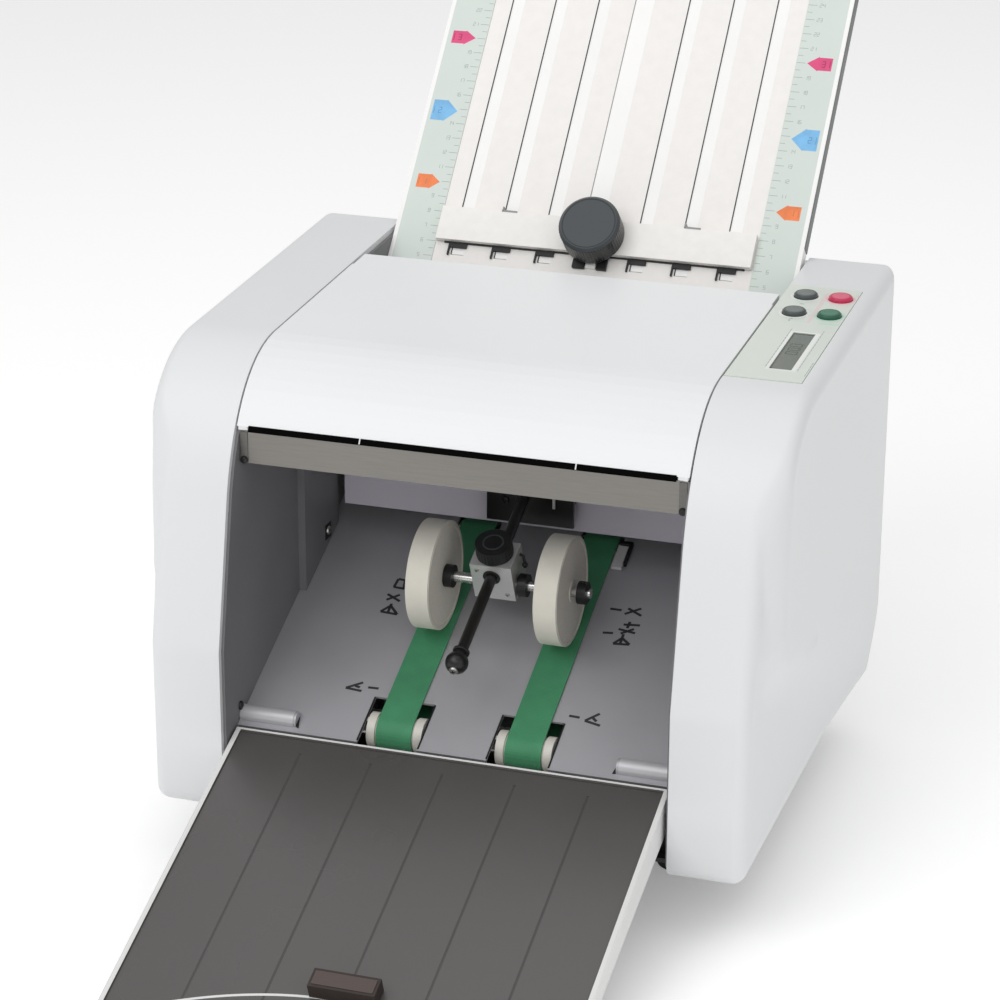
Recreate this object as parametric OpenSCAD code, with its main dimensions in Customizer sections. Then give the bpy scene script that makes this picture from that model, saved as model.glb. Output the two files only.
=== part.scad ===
// Desktop paper folding machine: the delivery end faces -Y, the feed end +Y.
// Origin: on the table, under the middle of the overall box. +Z is up.
// Side views below are given as [y, z] from the lower front edge of the covers.

/* [Body] */
// Height of the rubber feet under the covers
foot_h = 35; // [20:1:50]
// Radius of each foot
foot_r = 14; // [9:0.5:18]
// Distance from the front face to the middle of the feet
mid_y = 160; // [140:1:180]
// Distance between front and rear feet
foot_pitch_y = 144; // [100:2:180]
// Distance between left and right feet
foot_pitch_x = 226; // [180:2:240]
// Depth of the side covers
body_d = 296; // [285:1:330]
// Height of the side covers at the rear
body_h = 260; // [254:1:275]
// Height of the covers where the top starts to level out
shoulder_h = 252; // [245:1:254]
// Half width of the opening between the side covers
opening_hw = 127; // [127:0.5:135]
// Half width over the lower part of the side covers
lower_hw = 169; // [162:1:172]
// Half width over the bulge of the side covers
bulge_hw = 179; // [176:1:190]
// Wall of the moulded covers
cover_wall = 3; // [2:0.25:4]
// Rounding of the covers' outer edges
cover_round = 8; // [4:0.5:10]
// Running gap between the top cover and the side covers
cover_gap = 1.1; // [0.6:0.1:2]

/* [Frame] */
// Distance from the middle to a side frame's inner face
frame_x = 125.4; // [125.4:0.1:126]
// Thickness of the side frames
frame_t = 2; // [1.5:0.25:3]
// Inset of the side frames from the cover outline
frame_inset = 3.4; // [3.2:0.1:8]
// Thickness of the base pan
pan_t = 2.5; // [1.5:0.25:3]
// Height of the base pan above the covers' lower edge
pan_z = 2; // [1:0.5:3]
// Sheet metal thickness of deck, panel and cross bar
sheet_t = 1.5; // [1:0.1:1.6]

/* [Delivery deck] */
// Slope of the delivery deck in degrees
deck_angle = 24; // [20:0.5:26]
// Length of the deck plate in front of its reference point
deck_front = 12; // [10:0.5:14]
// Length of the deck plate behind its reference point
deck_rear = 180; // [178:1:182]
// Width of each exit belt
belt_w = 20.6; // [14:0.2:26]
// Thickness of the exit belts
belt_t = 1; // [0.8:0.1:1.4]
// Distance from the middle to the centre of each belt
belt_x = 37.3; // [30:0.1:45]
// Radius of the belt rollers
belt_roller_r = 9; // [7:0.25:9.5]
// Length of each belt roller
belt_roller_w = 32; // [28:0.5:36]
// Distance between the two belt roller axes
belt_span = 155; // [145:1:156]

/* [Stacker] */
// Radius over the stacker tyres
wheel_r = 31; // [24:0.5:33]
// Width of the stacker wheels
wheel_w = 13; // [8:0.5:16]
// Thickness of the stacker tyres
tyre_t = 2.5; // [1.5:0.25:4]
// Distance of the wheel axis up the deck
wheel_a = 89.4; // [75:0.1:100]
// Radius of the wheel shaft
wheel_shaft_r = 3; // [2:0.25:4]
// Radius of the guide rod that carries the block
guide_rod_r = 3.2; // [2.5:0.1:4]
// Height of the guide rod above the wheel shaft
guide_rise = 10.2; // [8:0.1:12]
// Distance of the guide rod's front end up the deck
rod_front = 17.6; // [12:0.1:26]
// Width of the clamp block
block_w = 24; // [18:0.5:28]
// Radius of the block's lock knob
lock_knob_r = 10.3; // [8:0.1:12]

/* [Exit tray] */
// Slope of the exit tray in degrees
tray_angle = 20.3; // [18:0.1:20.5]
// Length of the exit tray
tray_l = 203; // [150:1:205]
// Half width over the exit tray
tray_hw = 123.5; // [118:0.5:125]
// Rim thickness of the exit tray
tray_rim = 2.4; // [2:0.1:4]
// Depth of the tray's side wall at its upper end
tray_wall_h = 18; // [14:0.5:19]
// Depth of the tray's side wall at its lower end
tray_end_h = 7; // [5:0.5:7.5]
// Width of the tray's paper stop
tray_stop_w = 36; // [24:1:48]

/* [Fold plates] */
// Slope of the upper fold plate in degrees
plate_angle = 47.2; // [46:0.1:49]
// Length of the upper fold plate above its 10 cm mark
plate_top = 178; // [150:1:240]
// Half width over the upper fold plate
plate_hw = 125.2; // [124:0.1:125.2]
// Half width of the slatted middle
slats_hw = 97.7; // [90:0.1:100]
// Distance between neighbouring slots
slot_pitch = 27.2; // [24:0.1:28]
// Width of each slot
slot_w = 8; // [7:0.25:9]
// Paper gap inside the fold plates
paper_gap = 3; // [2:0.25:3.5]
// Thickness of the fold plates' sheets
plate_t = 1.2; // [1:0.1:1.5]
// Width of the paper stop bar along the plate
stop_w = 22; // [16:1:26]
// Radius of the paper stop's clamp knob
stop_knob_r = 18.3; // [12:0.1:20]
// Height of the clamp knob
stop_knob_h = 16; // [10:0.5:20]
// Length of the lower fold plate
lower_plate_l = 176; // [120:1:177]

/* [Rollers] */
// Radius of the fold rollers
roller_r = 14; // [12:0.1:14]
// Gap between neighbouring fold rollers
nip_gap = 0.4; // [0.3:0.05:1]
// Slope of the feed path in degrees
feed_angle = 20; // [18:0.5:22]
// Half length of the fold rollers' barrels
barrel_hw = 118; // [110:1:119]
// Radius of the shaft journals
journal_r = 4; // [3:0.25:5]
// Running clearance of shafts and pins in their bores
run_gap = 0.05; // [0.02:0.01:0.1]
// Number of teeth on the roller gears
gear_teeth = 14; // [12:1:16]
// Width of the roller gears
gear_w = 8; // [5:0.5:12]

/* [Feed] */
// Length of the feed table with its narrower rear part
table_l = 190; // [150:5:195]
// Length of the feed table's full-width part
table_wide_l = 104; // [90:1:110]
// Half width of the feed table
table_hw = 118; // [112:0.5:122]
// Height of the paper side guides
guide_h = 22; // [12:1:26]
// Distance from the middle to each paper guide
guide_x = 105.5; // [80:0.5:108]

/* [Controls] */
// Length of the control panel overlay
panel_l = 152; // [150:1:160]
// Width of the control panel overlay
panel_w = 42; // [41:0.5:43]
// Radius of the round buttons
button_r = 6.7; // [5:0.1:7.5]
// Height of the buttons above the panel
button_h = 2.6; // [2:0.1:4]
// Length of the display window
lcd_l = 58; // [40:1:60]
// Width of the display window
lcd_w = 12; // [8:0.5:14]

/* [Hidden] */
$fn = 64;

// Colours seen on the machine
cover_white = [0.90, 0.91, 0.91];
steel = [0.62, 0.61, 0.59];
dark_grey = [0.27, 0.27, 0.28];
pale_green = [0.81, 0.85, 0.82];
black = [0.08, 0.08, 0.08];
belt_green = [0.22, 0.48, 0.33];
cream = [0.82, 0.80, 0.75];

// Small distances that several pieces share
touch_gap = 0.3;
eps = 0.01;

// Side view of the covers: upright front, sloping brow, rounded shoulder, nearly level top.
brow_start = [0, 95];
brow_end = [17.5, 181];
shoulder = [87, shoulder_h];
brow_pull = [8, 32];
shoulder_pull = [42, 3];
top_angle = atan2(body_h - shoulder_h, body_d - shoulder[0]);

function bezier(a, b, c, d, n) =
  [for (i = [0:n]) let (t = i / n)
    pow(1 - t, 3) * a + 3 * t * pow(1 - t, 2) * b + 3 * t * t * (1 - t) * c + pow(t, 3) * d];
function arc(c, r, a0, a1, n) =
  [for (i = [0:n]) let (a = a0 + (a1 - a0) * i / n) c + r * [cos(a), sin(a)]];

cover_outline = concat(
  arc([cover_round, cover_round], cover_round, 270, 180, 5),
  [brow_start],
  bezier(brow_end, brow_end + brow_pull, shoulder - shoulder_pull, shoulder, 14),
  [[body_d, body_h], [body_d, 0]]
);

// Region of the side cover that bulges outward, above the hand recess.
bulge_outline = [[30, 236], [34, 208], [50, 140], [64, 122], [body_d + 20, 30],
                 [body_d + 20, body_h + 20], [60, body_h + 20]];

// The rollers, plates and inner panel keep their places from the covers' rear face.
// The deck's rear end moves so that it keeps its distance from the lower fold plate.
depth_as_drawn = 296;
rear_shift = body_d - depth_as_drawn;
lower_angle = 57;
deck_shift = rear_shift * sin(lower_angle) / sin(lower_angle - deck_angle);

// Places that several pieces share, as [y, z]
deck_ref = [30, 49.4];
tray_ref = [15.4, 44.1];
plate_ref = [303.4 + rear_shift, 283.9];
lower_ref = [238 + rear_shift, 168.2];
panel_y = 168 + rear_shift;
panel_lift = 12.2;
panel_top = 210;
panel_hw = 117;
bar_y = 33;
bar_depth = 14;
bar_top = 213.3;
bar_h = 18.5;
top_cover_front = [31.4, 216];
top_cover_rear = 228 + rear_shift;
top_pin_r = 2.5;
top_pin_y = 221 + rear_shift;
top_pin_depth = 11.1;
top_pivot = [top_pin_y, shoulder_h + (top_pin_y - shoulder[0]) * tan(top_angle) - top_pin_depth];

// Fold rollers: 1 and 2 feed the lower plate, 2 and 3 the upper plate, 3 and 4 the exit.
roller_c = 2 * roller_r + nip_gap;
flow = [-cos(feed_angle), -sin(feed_angle)];
rise = [-sin(feed_angle), cos(feed_angle)];
roller_2 = [241.7 + rear_shift, 188.4];
roller_1 = roller_2 - roller_c * rise;
roller_3 = roller_2 + roller_c * flow;
roller_4 = roller_3 + roller_c * rise;
feed_nip = roller_2 - roller_c / 2 * rise;
journal_end = frame_x + frame_t + 2.4;
gear_x = frame_x + frame_t + 3.2;
tooth_step = 360 / gear_teeth;
gear_phase_1 = 90 + feed_angle;
gear_phase_2 = 2 * (90 + feed_angle) + 180 + tooth_step / 2 - gear_phase_1;
gear_phase_3 = 2 * (180 + feed_angle) + 180 + tooth_step / 2 - gear_phase_2;
gear_phase_4 = 2 * (90 + feed_angle) + 180 + tooth_step / 2 - gear_phase_3;

// Exit belts
belt_seat = 0.2;
belt_axis_b = belt_seat - belt_roller_r - touch_gap;
idler_a = 6;
belt_run = belt_span + deck_shift;
drive_a = idler_a + belt_run;
deck_end = deck_rear + deck_shift;
deck_notch_w = belt_roller_w + 3;

// Stacker
wheel_b = belt_seat + belt_t + touch_gap + wheel_r;
rod_b = wheel_b + guide_rise;
block_front = wheel_a - 6.4;
block_rear = wheel_a + 14;
block_top = rod_b + 8.3;
block_bottom = wheel_b - 7;
wheel_x = 37;
bracket_y = panel_y - 10;
bracket_half_h = 25;
bracket_lug_h = 36;
bracket_hw = 26;
bracket_t = 2;
rod_rear_a = 160 + rear_shift / cos(deck_angle);
rod_ball_r = 6.4;
lock_stem_r = 2.5;
lock_rise = 4;
lock_head_h = 8.4;

// Motor and its toothed belt
motor_axis = [75, 34];
motor_r = 22;
motor_l = 74;
motor_foot = [20, 60];
motor_foot_inset = 4;
motor_bore = 20;
pulley_r = 12;
drive_belt_t = 1.6;
drive_belt_x = frame_x + frame_t + 4.2;
drive_belt_w = 8;

// Bearings: bushes with a collar each side of the frames
bush_r = 7;
bush_x0 = frame_x - 2;
bush_x1 = frame_x + frame_t + 2;

// Stops and knobs
bar_rest = 0.5;
stop_bar_h = 4;
stop_centre = -29;
finger_w = 5;
finger_l = 4;
knob_stem_r = 4;
lower_stop_centre = -110;
slot_cols = [-3, -2, -1, 1, 2, 3];
slot_centre_shift = 1.2;

// Feed
feed_roller_r = 14;
feed_roller_at = [32, feed_roller_r + touch_gap];
bed_front = 16;
bed_rear = 44;
bed_hw = 116;
rear_cover_split = 165;
bed_z = -1.5;
table_front = 51.5;
hinge_at = [40, -6];
hinge_pin_r = 2;
rear_cover_y = 286 + rear_shift;

// Controls on the right cover's top
panel_front = 6;
panel_t = 3;
panel_proud = 0.4;
panel_x0 = opening_hw + 0.4;
panel_fit = 0.2;
button_fit = 0.3;
button_cols = [140.5, 160.5];
button_rows = [112, 141];
lcd_at = [153.7, 52];
lcd_t = 1.4;
lcd_fit = 0.1;

function deck_point(a, b) =
  deck_ref + [a * cos(deck_angle) - b * sin(deck_angle), a * sin(deck_angle) + b * cos(deck_angle)];
function feed_point(t, h) =
  feed_nip + [t * cos(feed_angle) - h * sin(feed_angle), t * sin(feed_angle) + h * cos(feed_angle)];
function deck_z(y) = deck_ref[1] + (y - deck_ref[0]) * tan(deck_angle);
function rod_z(y) = deck_z(y) + rod_b / cos(deck_angle);
function slot_x(k) = k * slot_pitch + sign(k) * slot_centre_shift;

idler_axis = deck_point(idler_a, belt_axis_b);
drive_axis = deck_point(drive_a, belt_axis_b);
feed_axis = feed_point(feed_roller_at[0], feed_roller_at[1]);
shaft_axes = [roller_1, roller_2, roller_3, roller_4, idler_axis, drive_axis, feed_axis];

// The overall box runs from the tray's far edge to the feed table's or the upper plate's.
tray_lip = 1;
table_skirt = 10;
plate_end = 6;
plate_under = 9;
tray_end_y = tray_ref[0] - tray_l * cos(tray_angle) - tray_lip * sin(tray_angle);
table_end_y = feed_point(table_front + table_l, bed_z - table_skirt)[0];
plate_end_y = plate_ref[0] + (plate_top + plate_end) * cos(plate_angle) + plate_under * sin(plate_angle);
centre_y = (tray_end_y + max(table_end_y, plate_end_y)) / 2;

// Local frames. Every module draws in one of these.
module seat() translate([0, -centre_y, foot_h]) children();
module at(p) translate([0, p[0], p[1]]) children();
module on_deck() at(deck_ref) rotate([deck_angle, 0, 0]) children();
module on_tray() at(tray_ref) rotate([tray_angle, 0, 0]) children();
module on_plate() at(plate_ref) rotate([plate_angle, 0, 0]) children();
module on_lower() at(lower_ref) rotate([lower_angle, 0, 0]) children();
module on_feed() at(feed_nip) rotate([feed_angle, 0, 0]) children();
module on_top() at(shoulder) rotate([top_angle, 0, 0]) children();
module both_sides() {
  children();
  mirror([1, 0, 0]) children();
}

// Extrudes a [y, z] outline along X, from x0 to x1.
module slab_x(x0, x1) translate([x0, 0, 0]) rotate([90, 0, 90]) linear_extrude(x1 - x0) children();
module rod_x(x0, x1, r) translate([x0, 0, 0]) rotate([0, 90, 0]) cylinder(h = x1 - x0, r = r);
module box(x0, x1, y0, y1, z0, z1) translate([x0, y0, z0]) cube([x1 - x0, y1 - y0, z1 - z0]);
module box_mid(hw, y0, y1, z0, z1) box(-hw, hw, y0, y1, z0, z1);

// ---- Base ----
pan_inset = 14;
pan_side_inset = 11;
pan_flange = [24, 26];
pan_flange_top = 30;
foot_screw_r = 3;
plate_end_room = [3, 14];
module base_pan() color(dark_grey) seat() difference() {
  union() {
    box_mid(lower_hw - pan_side_inset, pan_inset, body_d - pan_inset, pan_z, pan_z + pan_t);
    box_mid(frame_x - touch_gap, pan_flange[0], pan_flange[1], pan_z + pan_t - eps, pan_flange_top);
  }
  foot_places() translate([0, 0, pan_z - 1]) cylinder(h = pan_t + 2, r = foot_screw_r);
  // room for the closed end of the lower fold plate
  on_lower() box_mid(frame_x, lower_mouth - lower_plate_l - plate_end_room[1],
                     lower_mouth, -lower_half_t - plate_end_room[0], lower_half_t + plate_end_room[0]);
}

module foot_places()
  for (sx = [-1, 1], sy = [-1, 1])
    translate([sx * foot_pitch_x / 2, mid_y + sy * foot_pitch_y / 2, 0]) children();

recess_r = 5;
recess_depth = 11;
module rubber_feet() color(black) seat() foot_places() difference() {
  translate([0, 0, -foot_h]) cylinder(h = foot_h + pan_z, r = foot_r);
  translate([0, 0, -foot_h - 1]) cylinder(h = recess_depth + 1, r = recess_r);
}

step_x = 121.1;
step_front = panel_y - 53;
step_top = 205;
module side_frame() {
  slab_x(frame_x, frame_x + frame_t) difference() {
    intersection() {
      offset(delta = -frame_inset) polygon(cover_outline);
      translate([0, pan_z + pan_t]) square([rear_cover_y + 6, body_h]);
    }
    for (p = shaft_axes) translate(p) circle(bush_r + run_gap);
    translate(top_pivot) circle(top_pin_r + run_gap);
    translate(tray_pivot) circle(tray_pin_r + run_gap);
    translate(table_pivot) circle(hinge_pin_r + run_gap);
  }
  // raised step beside the wheels, down to the deck
  slab_x(step_x, frame_x + eps) translate([0, touch_gap + 0.1])
    polygon([[step_front, deck_z(step_front)], [panel_y, deck_z(panel_y)],
             [panel_y, step_top], [step_front, step_top]]);
}
module side_frame_left() color(dark_grey) seat() mirror([1, 0, 0]) side_frame();
module side_frame_right() color(dark_grey) seat() difference() {
  side_frame();
  at(motor_axis) rod_x(frame_x - 1, frame_x + frame_t + 1, journal_r + 3);
}

// ---- Covers ----
// Each slice gives [x, extra inset]; together they round the outer edge.
function edge_slices(x, r) = [for (a = [0:22.5:90]) [x - r + r * sin(a), r * (1 - cos(a))]];

module lower_block(inset)
  hull() {
    slab_x(opening_hw - inset / 3, opening_hw + 1) offset(delta = -inset) polygon(cover_outline);
    for (s = edge_slices(lower_hw - inset, cover_round))
      slab_x(s[0] - eps, s[0]) offset(delta = -inset - s[1]) polygon(cover_outline);
  }
bulge_root = 16;
bulge_root_grow = 12;
bulge_tip_grow = 9;
bulge_taper = 1.4;
module bulge_block(inset)
  hull() {
    slab_x(lower_hw - bulge_root, lower_hw - bulge_root + 1) bulge_slice(inset, bulge_root_grow);
    for (s = edge_slices(bulge_hw - inset, cover_round))
      slab_x(s[0] - eps, s[0]) bulge_slice(inset + s[1], bulge_tip_grow - bulge_taper * s[1]);
  }
module bulge_slice(inset, grow) intersection() {
  offset(delta = -inset) polygon(cover_outline);
  offset(delta = grow - inset) polygon(bulge_outline);
}
module cover_shell() difference() {
  union() {
    lower_block(0);
    bulge_block(0);
  }
  lower_block(cover_wall);
  bulge_block(cover_wall);
  box(opening_hw - 1, lower_hw - cover_wall, cover_wall, body_d - cover_wall, -1, cover_wall + 1);
}
module left_cover() color(cover_white) seat() mirror([1, 0, 0]) cover_shell();
module right_cover() color(cover_white) seat() difference() {
  cover_shell();
  on_top() box(opening_hw - 1, panel_x0 + panel_w + panel_fit, panel_front - panel_fit,
               panel_front + panel_l + panel_fit, -cover_wall - 3, 2);
  inlet_place() box(-inlet_w / 2 - panel_fit, inlet_w / 2 + panel_fit, -6, 2,
                    -inlet_h / 2 - panel_fit, inlet_h / 2 + panel_fit);
  switch_place() box(-switch_w / 2 - panel_fit, switch_w / 2 + panel_fit, -6, 2,
                     -switch_h / 2 - panel_fit, switch_h / 2 + panel_fit);
  switch_place() translate([0, -cover_wall / 2, 0])
    rod_x(-switch_w / 2 - 2, switch_w / 2 + 2, rocker_pin_r + run_gap);
}

top_hw = opening_hw - cover_gap;
skirt_x = frame_x - touch_gap;
lid_narrow_y = top_pivot[0] - 12;
module top_skin(y0, y1) intersection() {
  difference() {
    polygon(cover_outline);
    offset(delta = -cover_wall) polygon(cover_outline);
  }
  translate([y0, top_cover_front[1]]) square([y1 - y0, body_h]);
}
skirt_t = 2.2;
skirt_depth = 10;
skirt_below = 2;
top_boss_r = 6;
module top_cover() color(cover_white) seat() {
  slab_x(-top_hw, top_hw) top_skin(top_cover_front[0], lid_narrow_y);
  slab_x(-skirt_x, skirt_x) top_skin(lid_narrow_y - eps, top_cover_rear);
  both_sides() slab_x(skirt_x - skirt_t, skirt_x) intersection() {
    difference() {
      offset(delta = -1) polygon(cover_outline);
      offset(delta = -skirt_depth) polygon(cover_outline);
    }
    translate(top_cover_front - [0, skirt_below]) square([top_cover_rear - top_cover_front[0], body_h]);
  }
  both_sides() slab_x(skirt_x - skirt_t, skirt_x) translate(top_pivot) circle(top_boss_r);
  both_sides() at(top_pivot) rod_x(skirt_x - 1, frame_x + frame_t - 0.4, top_pin_r);
}

window_hw = 96;
window_z = [24, 158];
bed_join_z = feed_nip[1] + (rear_cover_y - feed_nip[0]) * tan(feed_angle) - 2;
module rear_cover() color(cover_white) seat() difference() {
  union() {
    box_mid(frame_x, rear_cover_y, rear_cover_y + sheet_t, pan_z + pan_t, rear_cover_split);
    box_mid(bed_hw, rear_cover_y, rear_cover_y + sheet_t, rear_cover_split - 1, bed_join_z);
    on_feed() box_mid(bed_hw, bed_front, bed_rear, bed_z - sheet_t, bed_z);
  }
  box_mid(window_hw, rear_cover_y - 1, rear_cover_y + sheet_t + 1, window_z[0], window_z[1]);
}

// ---- Front bar, inner panel, deck ----
module front_cross_bar() color(steel) seat() difference() {
  box_mid(frame_x, bar_y, bar_y + bar_depth, bar_top - bar_h, bar_top);
  box_mid(frame_x + 1, bar_y + sheet_t, bar_y + bar_depth + 1, bar_top - bar_h - 1, bar_top - sheet_t);
}

ear_places = [165, 198];
ear_h = 8;
module rear_inner_panel() color([0.47, 0.45, 0.48]) seat() {
  box_mid(panel_hw, panel_y, panel_y + sheet_t, deck_z(panel_y) + panel_lift, panel_top);
  // ears that fix it to the side frames, behind the cross bar
  for (z = ear_places) box_mid(frame_x, panel_y, panel_y + sheet_t, z, z + ear_h);
}

upturn_angle = 62;
upturn_hw = 116;
upturn_l = 26;
flange_front = 16;
flange_h = 8;
tab_x = 92;
tab_at = [-3.4, 0.6];
tab_r = 4.6;
deck_notch_l = 22;
rear_notch_hw = 13;
module exit_deck() color([0.6, 0.6, 0.63]) seat() difference() {
  union() {
    on_deck() box_mid(frame_x - 0.1, -deck_front, deck_end, -sheet_t, 0);
    // upturned rear edge behind the falling sheets
    on_deck() translate([0, deck_end, -sheet_t]) rotate([upturn_angle - deck_angle, 0, 0])
      box_mid(upturn_hw, -eps, upturn_l, 0, sheet_t);
    // side flanges that screw to the frames
    on_deck() both_sides() box(frame_x - sheet_t, frame_x, flange_front, deck_end - 30, -flange_h, -eps);
    // rounded corner tabs at the front
    both_sides() on_deck() translate([0, tab_at[0], tab_at[1]]) rod_x(tab_x, frame_x - 0.1, tab_r);
  }
  // notches for the belts at both ends
  on_deck() for (sx = [-1, 1]) translate([sx * belt_x, 0, 0]) {
    box_mid(deck_notch_w / 2, -deck_front - 2, deck_notch_l, -4, 8);
    box_mid(rear_notch_hw, drive_a - 6.5, deck_end + upturn_l + 14, -12, 60);
  }
}

module belt_loop(x0, w, span, r, t) difference() {
  union() {
    rod_x(x0, x0 + w, r + t);
    translate([0, span, 0]) rod_x(x0, x0 + w, r + t);
    box(x0, x0 + w, 0, span, -r - t, r + t);
  }
  rod_x(x0 - 1, x0 + w + 1, r);
  translate([0, span, 0]) rod_x(x0 - 1, x0 + w + 1, r);
  box(x0 - 1, x0 + w + 1, 0, span, -r, r);
}
module exit_belt() on_deck() translate([0, idler_a, belt_axis_b])
  belt_loop(belt_x - belt_w / 2, belt_w, belt_run, belt_roller_r + touch_gap, belt_t);
module exit_belt_left() color(belt_green) seat() mirror([1, 0, 0]) exit_belt();
module exit_belt_right() color(belt_green) seat() exit_belt();

roller_rim = 0.9;
drive_drum_w = 24;
module belt_roller() difference() {
  union() {
    rod_x(-belt_roller_w / 2, belt_roller_w / 2, belt_roller_r);
    both_sides() rod_x(belt_w / 2 + 1, belt_roller_w / 2, belt_roller_r + roller_rim);
  }
  rod_x(-belt_roller_w, belt_roller_w, journal_r + run_gap);
}
module belt_idler_rollers() color(cream) seat() at(idler_axis)
  for (sx = [-1, 1]) translate([sx * belt_x, 0, 0]) belt_roller();
module belt_idler_shaft() color(steel) seat() at(idler_axis)
  rod_x(-journal_end, journal_end, journal_r);
module belt_drive_shaft() color(steel) seat() at(drive_axis) {
  rod_x(-journal_end, journal_end, journal_r);
  for (sx = [-1, 1]) translate([sx * belt_x, 0, 0])
    rod_x(-drive_drum_w / 2, drive_drum_w / 2, belt_roller_r);
}

// ---- Stacker ----
module stacker_rod() color(black) seat() on_deck() translate([0, rod_front, rod_b]) {
  rotate([-90, 0, 0]) cylinder(h = rod_rear_a - rod_front, r = guide_rod_r);
  sphere(rod_ball_r);
}
// The bracket hangs in front of the inner panel and holds the rod's rear end.
module stacker_bracket() color(black) seat() difference() {
  union() {
    box_mid(bracket_hw, bracket_y, bracket_y + bracket_t,
            rod_z(bracket_y) - bracket_half_h, rod_z(bracket_y) + bracket_half_h);
    both_sides() box(bracket_hw - bracket_t, bracket_hw, bracket_y + eps, panel_y,
                     rod_z(bracket_y) + bracket_half_h - bracket_lug_h, rod_z(bracket_y) + bracket_half_h);
  }
  on_deck() translate([0, rod_front, rod_b]) rotate([-90, 0, 0])
    cylinder(h = rod_rear_a, r = guide_rod_r + run_gap);
}
module stacker_block() color(steel) seat() on_deck() difference() {
  box_mid(block_w / 2, block_front, block_rear, block_bottom, block_top);
  translate([0, 0, rod_b]) rotate([-90, 0, 0]) cylinder(h = rod_rear_a, r = guide_rod_r + run_gap);
  translate([0, wheel_a, wheel_b]) rod_x(-block_w, block_w, wheel_shaft_r + run_gap);
  translate([0, wheel_a + lock_rise, rod_b + guide_rod_r + 0.4])
    cylinder(h = block_top - rod_b, r = lock_stem_r + run_gap);
}
module stacker_lock_knob() color(black) seat() on_deck()
  translate([0, wheel_a + lock_rise, rod_b + guide_rod_r + 0.6]) {
    cylinder(h = block_top - rod_b - guide_rod_r + 4, r = lock_stem_r);
    translate([0, 0, block_top - rod_b - guide_rod_r - 0.6 + touch_gap])
      cylinder(h = lock_head_h, r = lock_knob_r);
  }
module wheel_axis_frame() seat() on_deck() translate([0, wheel_a, wheel_b]) children();
module stacker_wheels() color([0.62, 0.60, 0.55]) wheel_axis_frame()
  for (sx = [-1, 1]) translate([sx * wheel_x, 0, 0]) difference() {
    rod_x(-wheel_w / 2, wheel_w / 2, wheel_r - tyre_t);
    rod_x(-wheel_w, wheel_w, wheel_shaft_r + run_gap);
  }
module stacker_tyres() color(cream) wheel_axis_frame()
  for (sx = [-1, 1]) translate([sx * wheel_x, 0, 0]) difference() {
    rod_x(-wheel_w / 2, wheel_w / 2, wheel_r);
    rod_x(-wheel_w, wheel_w, wheel_r - tyre_t + run_gap);
  }
module stacker_shaft() color(steel) wheel_axis_frame() rod_x(-shaft_left, shaft_right, wheel_shaft_r);
shaft_left = wheel_x + wheel_w / 2 + 6.5;
shaft_right = wheel_x + wheel_w / 2 + 11;
collar_w = 5;
collar_r = 6.5;
collar_places = [-wheel_x - wheel_w / 2 - collar_w - 0.2, -wheel_x + wheel_w / 2 + 0.2,
                 block_w / 2 + 1.2, wheel_x + wheel_w / 2 + 4];
module stacker_collars() color(black) wheel_axis_frame()
  for (x = collar_places) translate([x, 0, 0]) difference() {
    rod_x(0, collar_w, collar_r);
    rod_x(-1, collar_w + 1, wheel_shaft_r + run_gap);
  }

// ---- Exit tray ----
tray_t = 2;
tray_pin_r = 2.5;
tray_pin_y = -7;
tray_pin_z = -7;
tray_pivot = tray_ref + [tray_pin_y * cos(tray_angle) - tray_pin_z * sin(tray_angle),
                         tray_pin_y * sin(tray_angle) + tray_pin_z * cos(tray_angle)];
groove_pitch = 41;
groove_w = 1.4;
groove_ends = [10, 12];
groove_depth = 0.6;
tray_top_wall = 8;
tray_side = [[0, tray_lip], [-tray_l, tray_lip], [-tray_l, -tray_end_h],
             [-tray_wall_h, -tray_wall_h], [0, -tray_wall_h + 5]];
module exit_tray() color([0.37, 0.36, 0.36]) seat() on_tray() difference() {
  union() {
    box_mid(tray_hw - 1, -tray_l + 1, -0.5, -tray_t, 0);
    both_sides() slab_x(tray_hw - tray_rim, tray_hw) polygon(tray_side);
    box_mid(tray_hw - 1, -tray_rim, 0, -tray_top_wall, tray_lip);
    box_mid(tray_hw - 1, -tray_l, -tray_l + tray_rim, -tray_end_h, tray_lip);
  }
  for (k = [-2:2]) translate([k * groove_pitch, 0, 0])
    box_mid(groove_w / 2, -tray_l + groove_ends[0], -groove_ends[1], -groove_depth, 2);
  translate([0, tray_pin_y, tray_pin_z]) rod_x(-tray_hw - 1, tray_hw + 1, tray_pin_r + run_gap);
}
module tray_hinge_pins() color(steel) seat() at(tray_pivot)
  both_sides() rod_x(tray_hw - tray_rim - 3, frame_x + frame_t, tray_pin_r);
tray_stop_at = -163;
tray_stop_l = 12;
tray_stop_h = 9;
module tray_stop() color([0.29, 0.25, 0.24]) seat() on_tray()
  box_mid(tray_stop_w / 2, tray_stop_at - tray_stop_l, tray_stop_at, touch_gap, tray_stop_h);

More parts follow.
